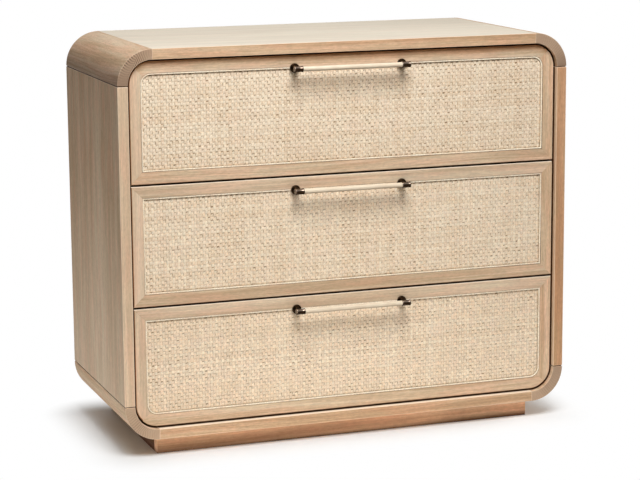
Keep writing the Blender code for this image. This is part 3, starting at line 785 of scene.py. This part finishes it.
def dress_board(
    name, slot, material, seams, shorten=0.0, divide=0, inner=None, wash=(0.0, 0.0), top_wash=None,
    front_wash=None, front_highlight=0.0, inner_wash=None, inner_highlight=None, shade=0.0, toe=0.0,
):
    """A board with eased edges in the place of its solid. Seams gives the four eases seen from the front.

    The wash goes from its first value at the foot to its second at the head. Inner names the face
    that looks into the carcass: an axis and a side. It gets painted shade from a little way behind
    its front on. The inner, upper and front faces may have a wash of their own; on the upper face it
    is a painted sheen. The front and inner faces may take a painted highlight. Shade paints shade
    over the whole board, and toe paints shade at the floor.
    """
    low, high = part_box(name)
    low.z += shorten
    high.z -= shorten
    corners = ((low.x, low.z), (high.x, low.z), (high.x, high.z), (low.x, high.z))
    points, quads, caps, edge = eased_bar(
        lambda inset: eased_outline(corners, seams, inset, divide), low.y, high.y, RIM_EASE,
        (INSIDE_SHADE_START, INSIDE_SHADE_START + INSIDE_SHADE_RUN) if inner else (),
    )[:4]
    places = points.reshape(-1, 3).T
    rise = places[2]
    washed = np.interp(rise, (low.z, high.z), wash)
    # painted shade: over the whole board by shade, and at its foot by toe
    deep = shade + (toe - shade) * np.clip(1.0 - (rise - low.z) / FOOT_SHADE_HEIGHT, 0.0, 1.0)
    # painted sheen: the upper face washed pale
    if top_wash is not None:
        washed[rise > high.z - FACE_ROOM] = top_wash
    in_front = places[1] < low.y + RIM_EASE
    # painted highlight on the front face
    edge = np.where(in_front, np.maximum(edge, front_highlight), edge)
    if front_wash is not None:
        washed[in_front] = front_wash
    if inner:
        axis, side = inner
        faces_in = side * places[axis] > side * (high if side > 0 else low)[axis] - FACE_ROOM
        if inner_wash is not None:
            washed[faces_in] = inner_wash
        # painted highlight on the inner face
        if inner_highlight is not None:
            edge = np.where(faces_in, inner_highlight, edge)
        # painted shade on the inner face, from a little way behind the front on
        inside_shade = np.where(faces_in, painted_inside_shade(places[1] - low.y), 0.0)
        washed = washed * (1 - inside_shade) - inside_shade
        deep = np.maximum(deep, INSIDE_SHADE_DEEP * inside_shade)
    put_piece(
        f"{name}_oak", "carcass", slot, material, points, quads, caps, (name,),
        edge=edge, board=chance.random(), wash=washed, deep=deep,
    )


def dress_seam(side, end):
    """A spline in the groove between a side board and a corner piece, set in from the faces and painted dark
    brown all over for the shade in the groove.
    """
    low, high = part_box(f"{side}_side_board")
    if end == "upper":
        low.z, high.z = high.z - GROOVE - GROOVE_LAP, high.z + FIT + GROOVE_LAP
    else:
        low.z, high.z = low.z - FIT - GROOVE_LAP, low.z + GROOVE + GROOVE_LAP
    left, right = low.x + GROOVE_SIDE_DEPTH, high.x - GROOVE_SIDE_DEPTH
    corners = ((left, low.z), (right, low.z), (right, high.z), (left, high.z))
    points, quads, caps = eased_bar(
        lambda inset: eased_outline(corners, (HIDDEN_EASE,) * 4, inset),
        low.y + GROOVE_DEPTH, high.y - GROOVE_DEPTH, HIDDEN_EASE,
    )[:3]
    # painted shade: the spline is dark brown all over
    put_piece(
        f"{side}_{end}_seam_spline", "carcass", "washed_oak", oak_along["Y"], points, quads, caps,
        board=chance.random(), deep=1.0,
    )


def dress_corner(name, quarter):
    """A quarter-round corner piece.

    Its section is a rectangle of arc length by radius, bent round the corner's centre: the angle
    is the arc length over the outer radius. The end at the side board has the wide groove ease.
    Painted umber shade follows powers of the sine and cosine of that angle.
    """
    low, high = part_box(name)
    right = quarter in (0, 3)
    upper = quarter in (0, 1)
    centre_x = high.x - CORNER_RADIUS if right else low.x + CORNER_RADIUS
    centre_z = high.z - CORNER_RADIUS if upper else low.z + CORNER_RADIUS
    length = CORNER_RADIUS * math.pi / 2
    inner = CORNER_RADIUS - BOARD
    corners = ((length, inner), (length, CORNER_RADIUS), (0.0, CORNER_RADIUS), (0.0, inner))
    outer_eases = (TIGHT_EASE, GROOVE_EASE) if quarter in (0, 2) else (GROOVE_EASE, TIGHT_EASE)

    def section_at(inset):
        """The bent section drawn in by an inset."""
        flat, rounding = eased_outline(corners, (INNER_EASE, *outer_eases, INNER_EASE), inset, divide=28)
        angle = quarter * math.pi / 2 + flat[:, 0] / CORNER_RADIUS
        x = centre_x + flat[:, 1] * np.cos(angle)
        z = centre_z + flat[:, 1] * np.sin(angle)
        return np.stack([x, z], 1), rounding

    points, quads, caps, edge, end = eased_bar(
        section_at, low.y, high.y, RIM_EASE, (INSIDE_SHADE_START, INSIDE_SHADE_START + INSIDE_SHADE_RUN)
    )
    out_x, out_z = points[..., 0] - centre_x, points[..., 2] - centre_z
    turned = np.arctan2(out_z, out_x).ravel()
    inside = np.hypot(out_x, out_z).ravel() < inner + FACE_ROOM
    # painted shade inside the corner, from a little way behind the front on
    inside_shade = np.where(inside, painted_inside_shade(points[..., 1].ravel() - low.y), 0.0)
    slope = np.abs(np.cos(turned))
    # painted umber shade, by how the corner faces
    if upper:
        umber = CROWN_UMBER_SHADE * np.sin(turned) ** 4 + SIDE_UMBER_SHADE * slope ** 8
    else:
        umber = LOW_UMBER_SHADE + LOW_RIGHT_UMBER_SHADE * slope ** 2 * right
    # painted highlight on the eased edges
    put_piece(
        f"{name}_oak", "carcass", "washed_oak", oak_along["Y"], points, quads, caps, (name,),
        edge=CORNER_HIGHLIGHT * edge, end=end, arc=turned * CORNER_RADIUS,
        ticks=CORNER_TICKS[name] * np.sin(2 * turned) ** 2, board=chance.random(),
        wash=CORNER_WASH - (1 + CORNER_WASH) * inside_shade, umber=umber, deep=INSIDE_SHADE_DEEP * inside_shade,
    )


def dress_carcass():
    """Top, bottom and side boards, the plinth, four seams and four corner pieces."""
    tight = (TIGHT_EASE,) * 4
    grooved_left = (GROOVE_EASE, INNER_EASE, INNER_EASE, GROOVE_EASE)
    grooved_right = (INNER_EASE, GROOVE_EASE, GROOVE_EASE, INNER_EASE)
    x_axis, z_axis = 0, 2
    # the top board's upper face is washed pale as a painted sheen
    dress_board(
        "top_board", "washed_oak", oak_along["X"], tight,
        inner=(z_axis, -1), wash=(-0.40, -0.40), top_wash=0.66,
    )
    # the bottom board's upper face has a painted highlight where it shows below the drawers
    dress_board(
        "bottom_board", "washed_oak", oak_along["X"], tight,
        inner=(z_axis, 1), wash=(-0.36, -0.36), inner_wash=0.0, inner_highlight=1.7,
    )
    # the left side board is paler and greyer at its foot and more amber at its head; its front face has a
    # painted highlight
    dress_board(
        "left_side_board", "washed_oak", side_oak, grooved_left, shorten=GROOVE,
        inner=(x_axis, 1), wash=(0.16, -0.10), front_wash=-0.09, front_highlight=0.35, inner_wash=-0.9,
    )
    dress_board(
        "right_side_board", "washed_oak", side_oak, grooved_right, shorten=GROOVE,
        inner=(x_axis, -1), front_wash=-0.64, inner_wash=0.1,
    )
    # painted shade on the plinth's end boards, darker on the left, and at the foot of all three
    for word, along, shade in (("front", "X", 0.0), ("left", "Y", 0.9), ("right", "Y", 0.5)):
        dress_board(
            f"plinth_{word}_board", "plinth_oak", plinth_along[along], (RIM_EASE,) * 4,
            divide=6, shade=shade, toe=TOE_SHADE,
        )
    for side in ("left", "right"):
        for end in ("upper", "lower"):
            dress_seam(side, end)
    for quarter, word in enumerate(("top_right", "top_left", "bottom_left", "bottom_right")):
        dress_corner(f"{word}_corner", quarter)


# Drawer fronts

def member_path(length, start_radius, end_radius, offset):
    """Path of a mitred frame member for every offset in from its outer edge.

    Straight along u, and at a rounded end on along an arc whose radius is the corner's radius
    less the offset, as far as the mitre at 45 degrees. A square end is cut at u = half - offset.
    """
    half = length / 2
    offset = np.asarray(offset, float)[None, :]

    def one_end(radius):
        """The +u end from the straight part to the mitre."""
        if radius <= 0.0:
            return np.stack([half - offset - MITRE_SLIP, -offset], -1)
        angle = np.linspace(90.0, 45.0 + math.degrees(MITRE_SLIP / radius), MITRE_POINTS)
        angle = np.radians(angle)[:, None]
        reach = radius - offset
        return np.stack([half - radius + reach * np.cos(angle), -radius + reach * np.sin(angle)], -1)

    start_end = one_end(start_radius)[::-1] * np.array([-1.0, 1.0])
    return np.concatenate([start_end, one_end(end_radius)])


def member_marks(drawer, word, offset, depth, rounding):
    """Edge, wash and deep marks over the section of a frame member.

    The walls get painted shade from a little way behind the face on. The outer rounding gets a
    painted highlight or painted brown shade. The top drawer's top rail gets the top board's shadow,
    painted in amber, towards its upper edge instead.
    """
    rounding = rounding * (offset < FRAME_WIDTH / 2) * (depth < FRAME_THICKNESS / 2)
    start = RAIL_SHADE_START if word == "top_rail" else GAP_SHADE_START
    # painted shade on the walls of the gaps
    shade = np.clip((depth - start) / GAP_SHADE_RUN, 0.0, 1.0)
    shade = shade * np.where(offset < FRAME_WIDTH / 2, 1.0, BEAD_WALL_SHADE)
    # painted shade: in the gaps, and brown on the outer rounding
    brown_shade = np.maximum(shade, FRAME_EDGE_SHADE[word] * rounding)
    # painted highlight on the outer rounding; the left stiles are paler wood all over
    edge = np.maximum(FRAME_HIGHLIGHT[word] * rounding, LEFT_STILE_PALE if word == "left_stile" else 0.0)
    # painted shadow of the top board along the top drawer's upper edge
    if drawer == "top" and word == "top_rail":
        brown_shade = np.maximum(brown_shade, HEAD_SHADOW * np.clip(1.0 - offset / HEAD_SHADOW_RUN, 0.0, 1.0))
        edge = np.zeros_like(edge)
    wash = (FRAME_WASH[word] + chance.uniform(-WASH_SPREAD, WASH_SPREAD)) * (1 - brown_shade) - brown_shade
    deep = np.maximum(shade, EDGE_SHADE_DEEP * FRAME_EDGE_SHADE[word] * rounding)
    return edge, wash, deep


def dress_frame(drawer, low_radius, high_radius):
    """Four mitred members with eased front edges: a section carried along each member's path."""
    body = f"{drawer}_drawer"
    low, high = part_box(f"{body}_front_board")
    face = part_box(f"{body}_top_rail")[0].y
    half_width = (high.x - low.x) / 2
    height = high.z - low.z
    members = {
        "top_rail": (2 * half_width, high_radius, high_radius, "X"),
        "bottom_rail": (2 * half_width, low_radius, low_radius, "X"),
        "left_stile": (height, low_radius, high_radius, "Z"),
        "right_stile": (height, low_radius, high_radius, "Z"),
    }
    for word, (length, start_radius, end_radius, along) in members.items():
        outer = LEFT_STILE_TRIM if word == "left_stile" else FRAME_TRIM
        inner, back = FRAME_WIDTH, FRAME_THICKNESS
        corners = ((inner, 0.0), (inner, back), (outer, back), (outer, 0.0))
        eases = (TIGHT_EASE, HIDDEN_EASE, HIDDEN_EASE, FRAME_EASE[word])
        section, rounding = eased_outline(corners, eases, divide=5)
        offset, depth = section.T
        edge, wash, deep = member_marks(drawer, word, offset, depth, rounding)
        u, w = np.moveaxis(member_path(length, start_radius, end_radius, offset), -1, 0)
        x, z = {
            "top_rail": (u, height + w),
            "bottom_rail": (-u, -w),
            "left_stile": (-half_width - w, height / 2 + u),
            "right_stile": (half_width + w, height / 2 + u),
        }[word]
        points = np.stack([x, np.broadcast_to(face + depth, x.shape), low.z + z], -1)
        put_piece(
            f"{body}_{word}_oak", body, "washed_oak", oak_along[along], points, *tube(*x.shape),
            (f"{body}_{word}",), edge=np.tile(edge, len(x)), board=chance.random(),
            wash=np.tile(wash, len(x)), deep=np.tile(deep, len(x)),
        )


def rounded_loop(half_width, height, low_radius, high_radius, inset):
    """A closed path round a drawer front for every inset: straight sides, and arcs of radius less inset."""
    inset = np.asarray(inset, float)[None, :]
    parts = []
    for quarter, (sign_x, upper) in enumerate(((1, False), (1, True), (-1, True), (-1, False))):
        radius = high_radius if upper else low_radius
        centre_z = height - radius if upper else radius
        if radius <= 0.0:
            z = height - inset if upper else inset
            parts.append(np.stack([sign_x * (half_width - inset), z], -1))
            continue
        angle = np.radians(np.linspace(-90.0, 0.0, LOOP_POINTS) + 90.0 * quarter)[:, None]
        reach = radius - inset
        x = sign_x * (half_width - radius) + reach * np.cos(angle)
        parts.append(np.stack([x, centre_z + reach * np.sin(angle)], -1))
    return np.concatenate(parts)


def dress_bead(drawer, low_radius, high_radius):
    """A half-round bead carried round the inside of the frame, with a ledge of painted shade towards the
    cane.
    """
    body = f"{drawer}_drawer"
    low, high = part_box(f"{body}_front_board")
    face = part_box(f"{body}_top_rail")[0].y
    half = (BEAD_WIDTH - BEAD_GAP - BEAD_LEDGE) / 2
    angle = np.radians(np.linspace(0.0, 180.0, BEAD_POINTS))
    middle = BEAD_INSET + BEAD_GAP + half
    ledge_end = middle + half + BEAD_LEDGE
    offset = np.concatenate([
        [middle - half], middle - half * np.cos(angle), [middle + half, ledge_end, ledge_end]
    ])
    depth = np.concatenate([
        [FRAME_THICKNESS], BEAD_SINK + half * (1 - np.sin(angle)), [LEDGE_DEPTH, LEDGE_DEPTH, FRAME_THICKNESS]
    ])
    # painted shade on the ledge
    deep = np.concatenate([np.zeros(BEAD_POINTS), LEDGE_SHADE])
    path = rounded_loop((high.x - low.x) / 2, high.z - low.z, low_radius, high_radius, offset)
    x, z = path[..., 0], path[..., 1]
    points = np.stack([x, np.broadcast_to(face + depth, x.shape), low.z + z], -1)
    put_piece(
        f"{body}_bead_rattan", body, "cane_bead", bead_finish, points,
        net(*x.shape, join_rows=True, join_columns=True), stands_for=(f"{body}_bead",),
        strand=BEAD_TONE, deep=np.tile(deep, len(x)),
    )


def wander(count, length, size):
    """Slow sideways drift of each strand: sine waves with their own phases, smaller where they are short."""
    place = np.linspace(0.0, 1.0, length)[None, :]
    total = np.zeros((count, length))
    for waves in STRAY_WAVES:
        phase = chance.random((count, 1)) * 2 * np.pi
        total += np.sin(2 * np.pi * waves * place + phase) * chance.normal(size=(count, 1)) / waves
    return total * size


def strand_net(centre, place, depth, width, arch, upright):
    """Strands as flat five-sided tubes: centre across, place along and depth, each strands by steps."""
    raised = np.array([0.0, -arch, -arch, 0.0, STRAND_BELLY])
    sideways = centre[..., None] + width[:, None, None] * STRAND_SIDES
    along = np.broadcast_to(place[..., None], sideways.shape)
    deep = depth[..., None] + raised
    points = np.stack((sideways, deep, along) if upright else (along, deep, sideways), -1)
    strands, steps, sides = sideways.shape
    first = np.arange(strands)[:, None] * steps * sides
    quads, (start, end) = tube(steps, sides)
    quads = (quads[None] + first[..., None]).reshape(-1, 4)
    return points, quads, np.concatenate([first + start, first + end])


def swing(value):
    """Over and under: a cosine flattened at its tops by a hyperbolic tangent."""
    return np.tanh(SWING_FLAT * value) / np.tanh(SWING_FLAT)


def uneven_widths(width, spread, count):
    """Widths of strands, each wider or narrower by chance, by two spreads at most."""
    return width * (1 + spread * chance.normal(size=count).clip(-2, 2))


def dress_cane(drawer, low_radius, high_radius):
    """Plain weave of flat rattan strands.

    Warp i and weft j cross with their depths swung opposite ways by the cosine of pi times
    (i + j), so each strand goes over one and under the next. Each strand stops at the panel's
    rounded outline, a little way under the bead.
    """
    body = f"{drawer}_drawer"
    low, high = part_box(f"{body}_cane_panel")
    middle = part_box(f"{body}_top_rail")[0].y + CANE_DEPTH
    half = high.x + TUCK
    bottom = low.z - TUCK
    top = high.z + TUCK
    radius = FRONT_RADIUS - CANE_INSET + TUCK
    warps = int((2 * half - EDGE_ROOM) / WARP_PITCH)
    wefts = int((top - bottom - EDGE_ROOM) / WEFT_PITCH)
    warp_at = (np.arange(warps) - (warps - 1) / 2) * WARP_PITCH
    weft_at = (top + bottom) / 2 + (np.arange(wefts) - (wefts - 1) / 2) * WEFT_PITCH

    def cut_in(into):
        """How far a rounded corner cuts a strand short, for a strand that lies into the corner."""
        into = np.clip(into, 0.0, radius)
        return radius - np.sqrt(np.maximum(radius ** 2 - into ** 2, 0.0))

    def lay(word, strands, phase, crown, tone, hollow):
        """One set of strands with its marks: phase and crown along them, tone and hollow for each; crown sets
        the painted highlight and hollow the depth of the painted shade.
        """
        points, quads, caps = strands
        count, steps = phase.shape
        sides = len(STRAND_SIDES)
        put_piece(
            f"{body}_cane_{word}", body, "woven_cane", cane_finish, points, quads, caps,
            (f"{body}_cane_panel",), strand=np.repeat(TONE_SHIFT[drawer] + tone, steps * sides),
            phase=np.repeat(phase.ravel(), sides), crown=np.repeat(np.maximum(crown, 0.0).ravel(), sides),
            side=np.tile(STRAND_SIDES, count * steps),
            hollow=np.repeat(HOLLOW_SHARE[drawer] * hollow, steps * sides), uneven=UNEVEN[drawer],
        )

    round_low, round_high = low_radius > 0.0, high_radius > 0.0
    warp_corner = cut_in(np.abs(warp_at) - (half - radius))
    warp_low = bottom + warp_corner * round_low
    warp_high = top - warp_corner * round_high
    steps = wefts * STEPS_PER_CROSSING + 1
    z = warp_low[:, None] + (warp_high - warp_low)[:, None] * np.linspace(0.0, 1.0, steps)[None, :]
    phase = np.pi * ((z - weft_at[0]) / WEFT_PITCH + np.arange(warps)[:, None])
    over = np.cos(phase)
    x = warp_at[:, None] + wander(warps, steps, WARP_STRAY)
    width = uneven_widths(WARP_WIDTH, WARP_SPREAD, warps)
    strands = strand_net(x, z, middle - WARP_WAVE * swing(over), width, WARP_ARCH, upright=True)
    coarse = chance.random(warps) < COARSE_SHARE[drawer]
    tone = np.where(coarse, 1.0, WARP_TONE * chance.random(warps))
    hollow = WARP_HOLLOW * np.where(coarse, COARSE_HOLLOW, chance.uniform(*FINE_HOLLOW, warps))
    lay("warps", strands, phase, over, tone, hollow)

    into_low = (bottom + radius - weft_at) * round_low
    into_high = (weft_at - (top - radius)) * round_high
    weft_reach = half - cut_in(np.maximum(into_low, into_high))
    steps = warps * STEPS_PER_CROSSING + 1
    x = weft_reach[:, None] * np.linspace(-1.0, 1.0, steps)[None, :]
    phase = np.pi * ((x - warp_at[0]) / WARP_PITCH + np.arange(wefts)[:, None])
    over = np.cos(phase)
    z = weft_at[:, None] + wander(wefts, steps, WEFT_STRAY)
    width = uneven_widths(WEFT_WIDTH, WEFT_SPREAD, wefts)
    strands = strand_net(z, x, middle + WEFT_WAVE * swing(over), width, WEFT_ARCH, upright=False)
    lay("wefts", strands, phase, -over, chance.random(wefts), np.full(wefts, WEFT_HOLLOW))


def ferrule_profile():
    """Half a ferrule, from the rim over the collar to the waist, and the same mirrored."""
    rim = -FERRULE_LENGTH / 2
    steps = (
        (rim, FERRULE_RADIUS, RIM_CURVE),
        (rim + COLLAR, FERRULE_RADIUS, SHOULDER_CURVE),
        (rim + COLLAR, FERRULE_RADIUS - COLLAR_STEP, WAIST_CURVE),
    )
    half = np.concatenate([
        np.array([place, radius]) + COLLAR_BEAD * np.array(curve) for place, radius, curve in steps
    ])
    return np.concatenate([half, half[::-1] * np.array([-1.0, 1.0])])


def stem_profile(back):
    """A rosette with a rounded front edge, and a post that grows out of it on a quarter-round fillet."""
    front = back - ROSETTE_THICKNESS
    turn = np.linspace(0.0, np.pi / 2, TURN_POINTS)
    fall, shrink = 1 - np.cos(turn), 1 - np.sin(turn)
    foot_start, foot_end = FOOT_WIDTHS
    return np.concatenate([
        [(back, ROSETTE_RADIUS - STEM_STEP), (back - STEM_STEP, ROSETTE_RADIUS)],
        np.stack([front + ROSETTE_ROUND * shrink, ROSETTE_RADIUS - ROSETTE_ROUND * fall], 1),
        [(front, POST_RADIUS + foot_start), (front - STEM_STEP, POST_RADIUS + foot_end)],
        np.stack([front - STEM_STEP - POST_FILLET * fall, POST_RADIUS + POST_FILLET * shrink], 1),
        [(FERRULE_RADIUS - POST_SINK, POST_RADIUS)],
    ])


def ferrule_highlight(outwards):
    """Painted highlight on a ferrule: along its upper front, and on the rings of its left rim."""
    lifted = outwards @ np.array(HIGHLIGHT_DIRECTION)
    rubbed = np.clip((lifted - HIGHLIGHT_START) / HIGHLIGHT_RUN, 0.0, 1.0) * TOP_HIGHLIGHT
    rim = slice(0, COLLAR_HIGHLIGHT_RINGS)
    rubbed[rim] = np.maximum(rubbed[rim], COLLAR_HIGHLIGHT * np.clip(lifted[rim] + COLLAR_HIGHLIGHT_REACH, 0.0, 1.0))
    return rubbed.ravel()


def dress_pull(drawer):
    """A cream rod between two bronze ends, each a rosette and post with a collared ferrule on it."""
    body = f"{drawer}_drawer"
    low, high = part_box(f"{body}_pull_rod")
    centre_y, centre_z = (low.y + high.y) / 2, (low.z + high.z) / 2
    shoulder = PULL_CENTRES / 2 - FERRULE_LENGTH / 2 + ROD_TUCK
    place = np.linspace(-shoulder, shoulder, ROD_POINTS)
    swell = ROD_RADIUS * (1 - ROD_TAPER * (place / shoulder) ** 2)
    points, quads, caps = spun(np.stack([place, swell], 1), "X", (0.0, centre_y, centre_z))
    # painted shade under the rod, by how far down the surface faces
    under = np.clip((centre_z - points[..., 2].ravel()) / ROD_RADIUS - UNDER_SHADE_START, 0.0, UNDER_SHADE_MOST)
    put_piece(
        f"{body}_pull_rod_cream", body, "pale_rod", cream, points, quads, caps,
        (f"{body}_pull_rod",), under=under,
    )
    stem = stem_profile(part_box(f"{body}_pull_left_end")[1].y - centre_y)
    for word, side in (("left", -1), ("right", 1)):
        spot = (side * PULL_CENTRES / 2, centre_y, centre_z)
        node = (f"{body}_pull_{word}_end",)
        points, quads, caps = spun(ferrule_profile(), "X", spot)
        put_piece(
            f"{body}_pull_{word}_ferrule", body, "dark_bronze", bronze, points, quads, caps, node,
            rubbed=ferrule_highlight((points - np.array(spot)) / FERRULE_RADIUS),
        )
        put_piece(f"{body}_pull_{word}_rosette", body, "dark_bronze", bronze, *spun(stem, "Y", spot), node)


def dress_drawers():
    """Frame, bead, cane and pull of each drawer. The lowest and highest fronts have rounded corners."""
    for drawer in DRAWERS:
        low_radius = FRONT_RADIUS if drawer == DRAWERS[0] else 0.0
        high_radius = FRONT_RADIUS if drawer == DRAWERS[-1] else 0.0
        dress_frame(drawer, low_radius, high_radius)
        dress_bead(drawer, low_radius, high_radius)
        dress_cane(drawer, low_radius, high_radius)
        dress_pull(drawer)


def paint_solids():
    """Wood on the solids that show as they are, with the grain along each one; the drawer front boards are
    painted dark brown for the shade behind the cane and in the gaps.
    """
    grain = {"back_panel": oak_along["Z"]}
    for drawer in DRAWERS:
        for side in ("left", "right"):
            grain[f"{drawer}_{side}_runner"] = birch_along["Y"]
            grain[f"{drawer}_drawer_{side}_side"] = birch_along["Y"]
        grain[f"{drawer}_drawer_back"] = birch_along["X"]
        grain[f"{drawer}_drawer_bottom"] = birch_along["X"]
        grain[f"{drawer}_drawer_front_board"] = shade_backing_along_x
    for name, material in grain.items():
        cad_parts[name].material_slots[0].material = material


dress_carcass()
dress_drawers()
paint_solids()


# Stage, light and camera

def floor_finish():
    """Pale paper that fades to plain white away from the foot of the chest, where it is seen directly."""
    material = bpy.data.materials.new("pale_floor")
    material.use_nodes = True
    tree = material.node_tree
    tree.nodes.remove(tree.nodes["Principled BSDF"])
    where = object_place(tree)
    low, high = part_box("plinth_front_board")
    reach = (high.x + FLOOR_MARGIN, -low.y, 0.0)
    spread = vector_maths(tree, "SUBTRACT", vector_maths(tree, "ABSOLUTE", where), reach)
    spread = vector_maths(tree, "MAXIMUM", spread)
    away = add_node(tree, "ShaderNodeVectorMath", {0: spread}, operation="LENGTH").outputs["Value"]
    tint = mixed(tree, noise(tree, where, FLOOR_SPECK), *FLOOR_TINTS)
    paper = add_node(tree, "ShaderNodeBsdfDiffuse", {"Color": tint}).outputs[0]
    white = add_node(tree, "ShaderNodeEmission", {"Color": WHITE, "Strength": 1.0}).outputs[0]
    share = times(tree, remap(tree, away, *FLOOR_FADE), seen_directly(tree))
    surface = add_node(tree, "ShaderNodeMixShader", {0: share, 1: paper, 2: white}).outputs[0]
    tree.links.new(surface, tree.nodes["Material Output"].inputs["Surface"])
    return material


def pale_floor():
    """A round pale floor under the chest: rings of points about its middle, and a fan inside the first."""
    reach = FLOOR_RADIUS * np.linspace(0.0, 1.0, FLOOR_RINGS + 1)[1:, None]
    angle = np.linspace(0.0, 2 * np.pi, FLOOR_SIDES, endpoint=False)[None, :]
    flat = np.zeros((FLOOR_RINGS, FLOOR_SIDES))
    points = np.stack([reach * np.cos(angle), reach * np.sin(angle), flat], -1).reshape(-1, 3)
    points = np.concatenate([points, np.zeros((1, 3))])
    quads = net(FLOOR_RINGS, FLOOR_SIDES, join_columns=True)
    inner = np.arange(FLOOR_SIDES)
    fan = np.stack([np.full(FLOOR_SIDES, len(points) - 1), inner, (inner + 1) % FLOOR_SIDES], 1)
    mesh = bpy.data.meshes.new("floor")
    mesh.from_pydata(points.tolist(), [], quads[:, ::-1].tolist() + fan.tolist())
    mesh.materials.append(floor_finish())
    floor = bpy.data.objects.new("floor", mesh)
    scene.collection.objects.link(floor)


def soft_world():
    """Even dim warm light, white where it is seen directly."""
    world = bpy.data.worlds.new("studio")
    scene.world = world
    world.use_nodes = True
    tree = world.node_tree
    colour = mixed(tree, seen_directly(tree), AMBIENT, WHITE)
    tree.links.new(colour, tree.nodes["Background"].inputs["Color"])


def aimed(place, forward, roll=0.0):
    """Where a lamp or camera stands: at a place, looking forward, turned about that line by roll."""
    forward = np.asarray(forward, float) / np.linalg.norm(forward)
    level = np.cross(forward, (0.0, 0.0, 1.0))
    level /= np.linalg.norm(level)
    above = np.cross(level, forward)
    right = math.cos(roll) * level + math.sin(roll) * above
    up = math.cos(roll) * above - math.sin(roll) * level
    axes = np.eye(4)
    axes[:3] = np.stack([right, up, -forward, place], 1)
    return Matrix(axes.tolist())


def softbox(name, place, target, size, watts, colour=WHITE, beam=180.0):
    """A rectangular lamp that faces a target. Beam is the angle of its light in degrees."""
    light = bpy.data.lights.new(name, "AREA")
    light.shape = "RECTANGLE"
    light.size, light.size_y = size
    light.energy = watts
    light.color = colour
    light.spread = math.radians(beam)
    lamp = bpy.data.objects.new(name, light)
    lamp.visible_camera = False
    lamp.matrix_world = aimed(place, np.subtract(target, place))
    scene.collection.objects.link(lamp)


def photograph_camera():
    """The camera at the photograph's viewpoint."""
    data = bpy.data.cameras.new("photograph")
    data.lens = FOCAL_LENGTH_MM
    data.sensor_width = SENSOR_WIDTH_MM
    camera = bpy.data.objects.new("photograph", data)
    level = math.cos(VIEW_PITCH)
    forward = (math.sin(VIEW_YAW) * level, math.cos(VIEW_YAW) * level, math.sin(VIEW_PITCH))
    camera.matrix_world = aimed(VIEWPOINT, forward, VIEW_ROLL)
    scene.collection.objects.link(camera)
    scene.camera = camera


pale_floor()
soft_world()
softbox("key", place=(-0.24, -1.57, 2.40), target=(0.0, -0.18, 0.45), size=(1.1, 1.2), watts=62.0)
softbox("overhead", place=(0.2, 0.3, 3.0), target=(0.0, 0.0, 0.7), size=(1.6, 1.4), watts=6.0)
softbox(
    "low_front", place=(-0.25, -1.1, 0.06), target=(-0.15, -0.18, 0.15), size=(1.0, 0.08), watts=1.0,
    colour=LOW_WARM,
)
softbox(
    "plinth", place=(-0.26, -0.75, 0.012), target=(-0.20, -0.16, 0.008), size=(0.8, 0.02), watts=0.042,
    colour=PLINTH_WARM, beam=9.0,
)
softbox("low_left", place=(-1.2, 0.0, 0.06), target=(-0.45, 0.0, 0.15), size=(0.5, 0.08), watts=1.8)
softbox("right", place=(2.0, 0.1, 0.6), target=(0.45, 0.0, 0.3), size=(0.9, 0.9), watts=16.0)
softbox("back", place=(0.3, 2.3, 0.5), target=(0.0, 0.2, 0.4), size=(1.4, 0.7), watts=20.0)
photograph_camera()
scene.view_settings.view_transform = "Standard"
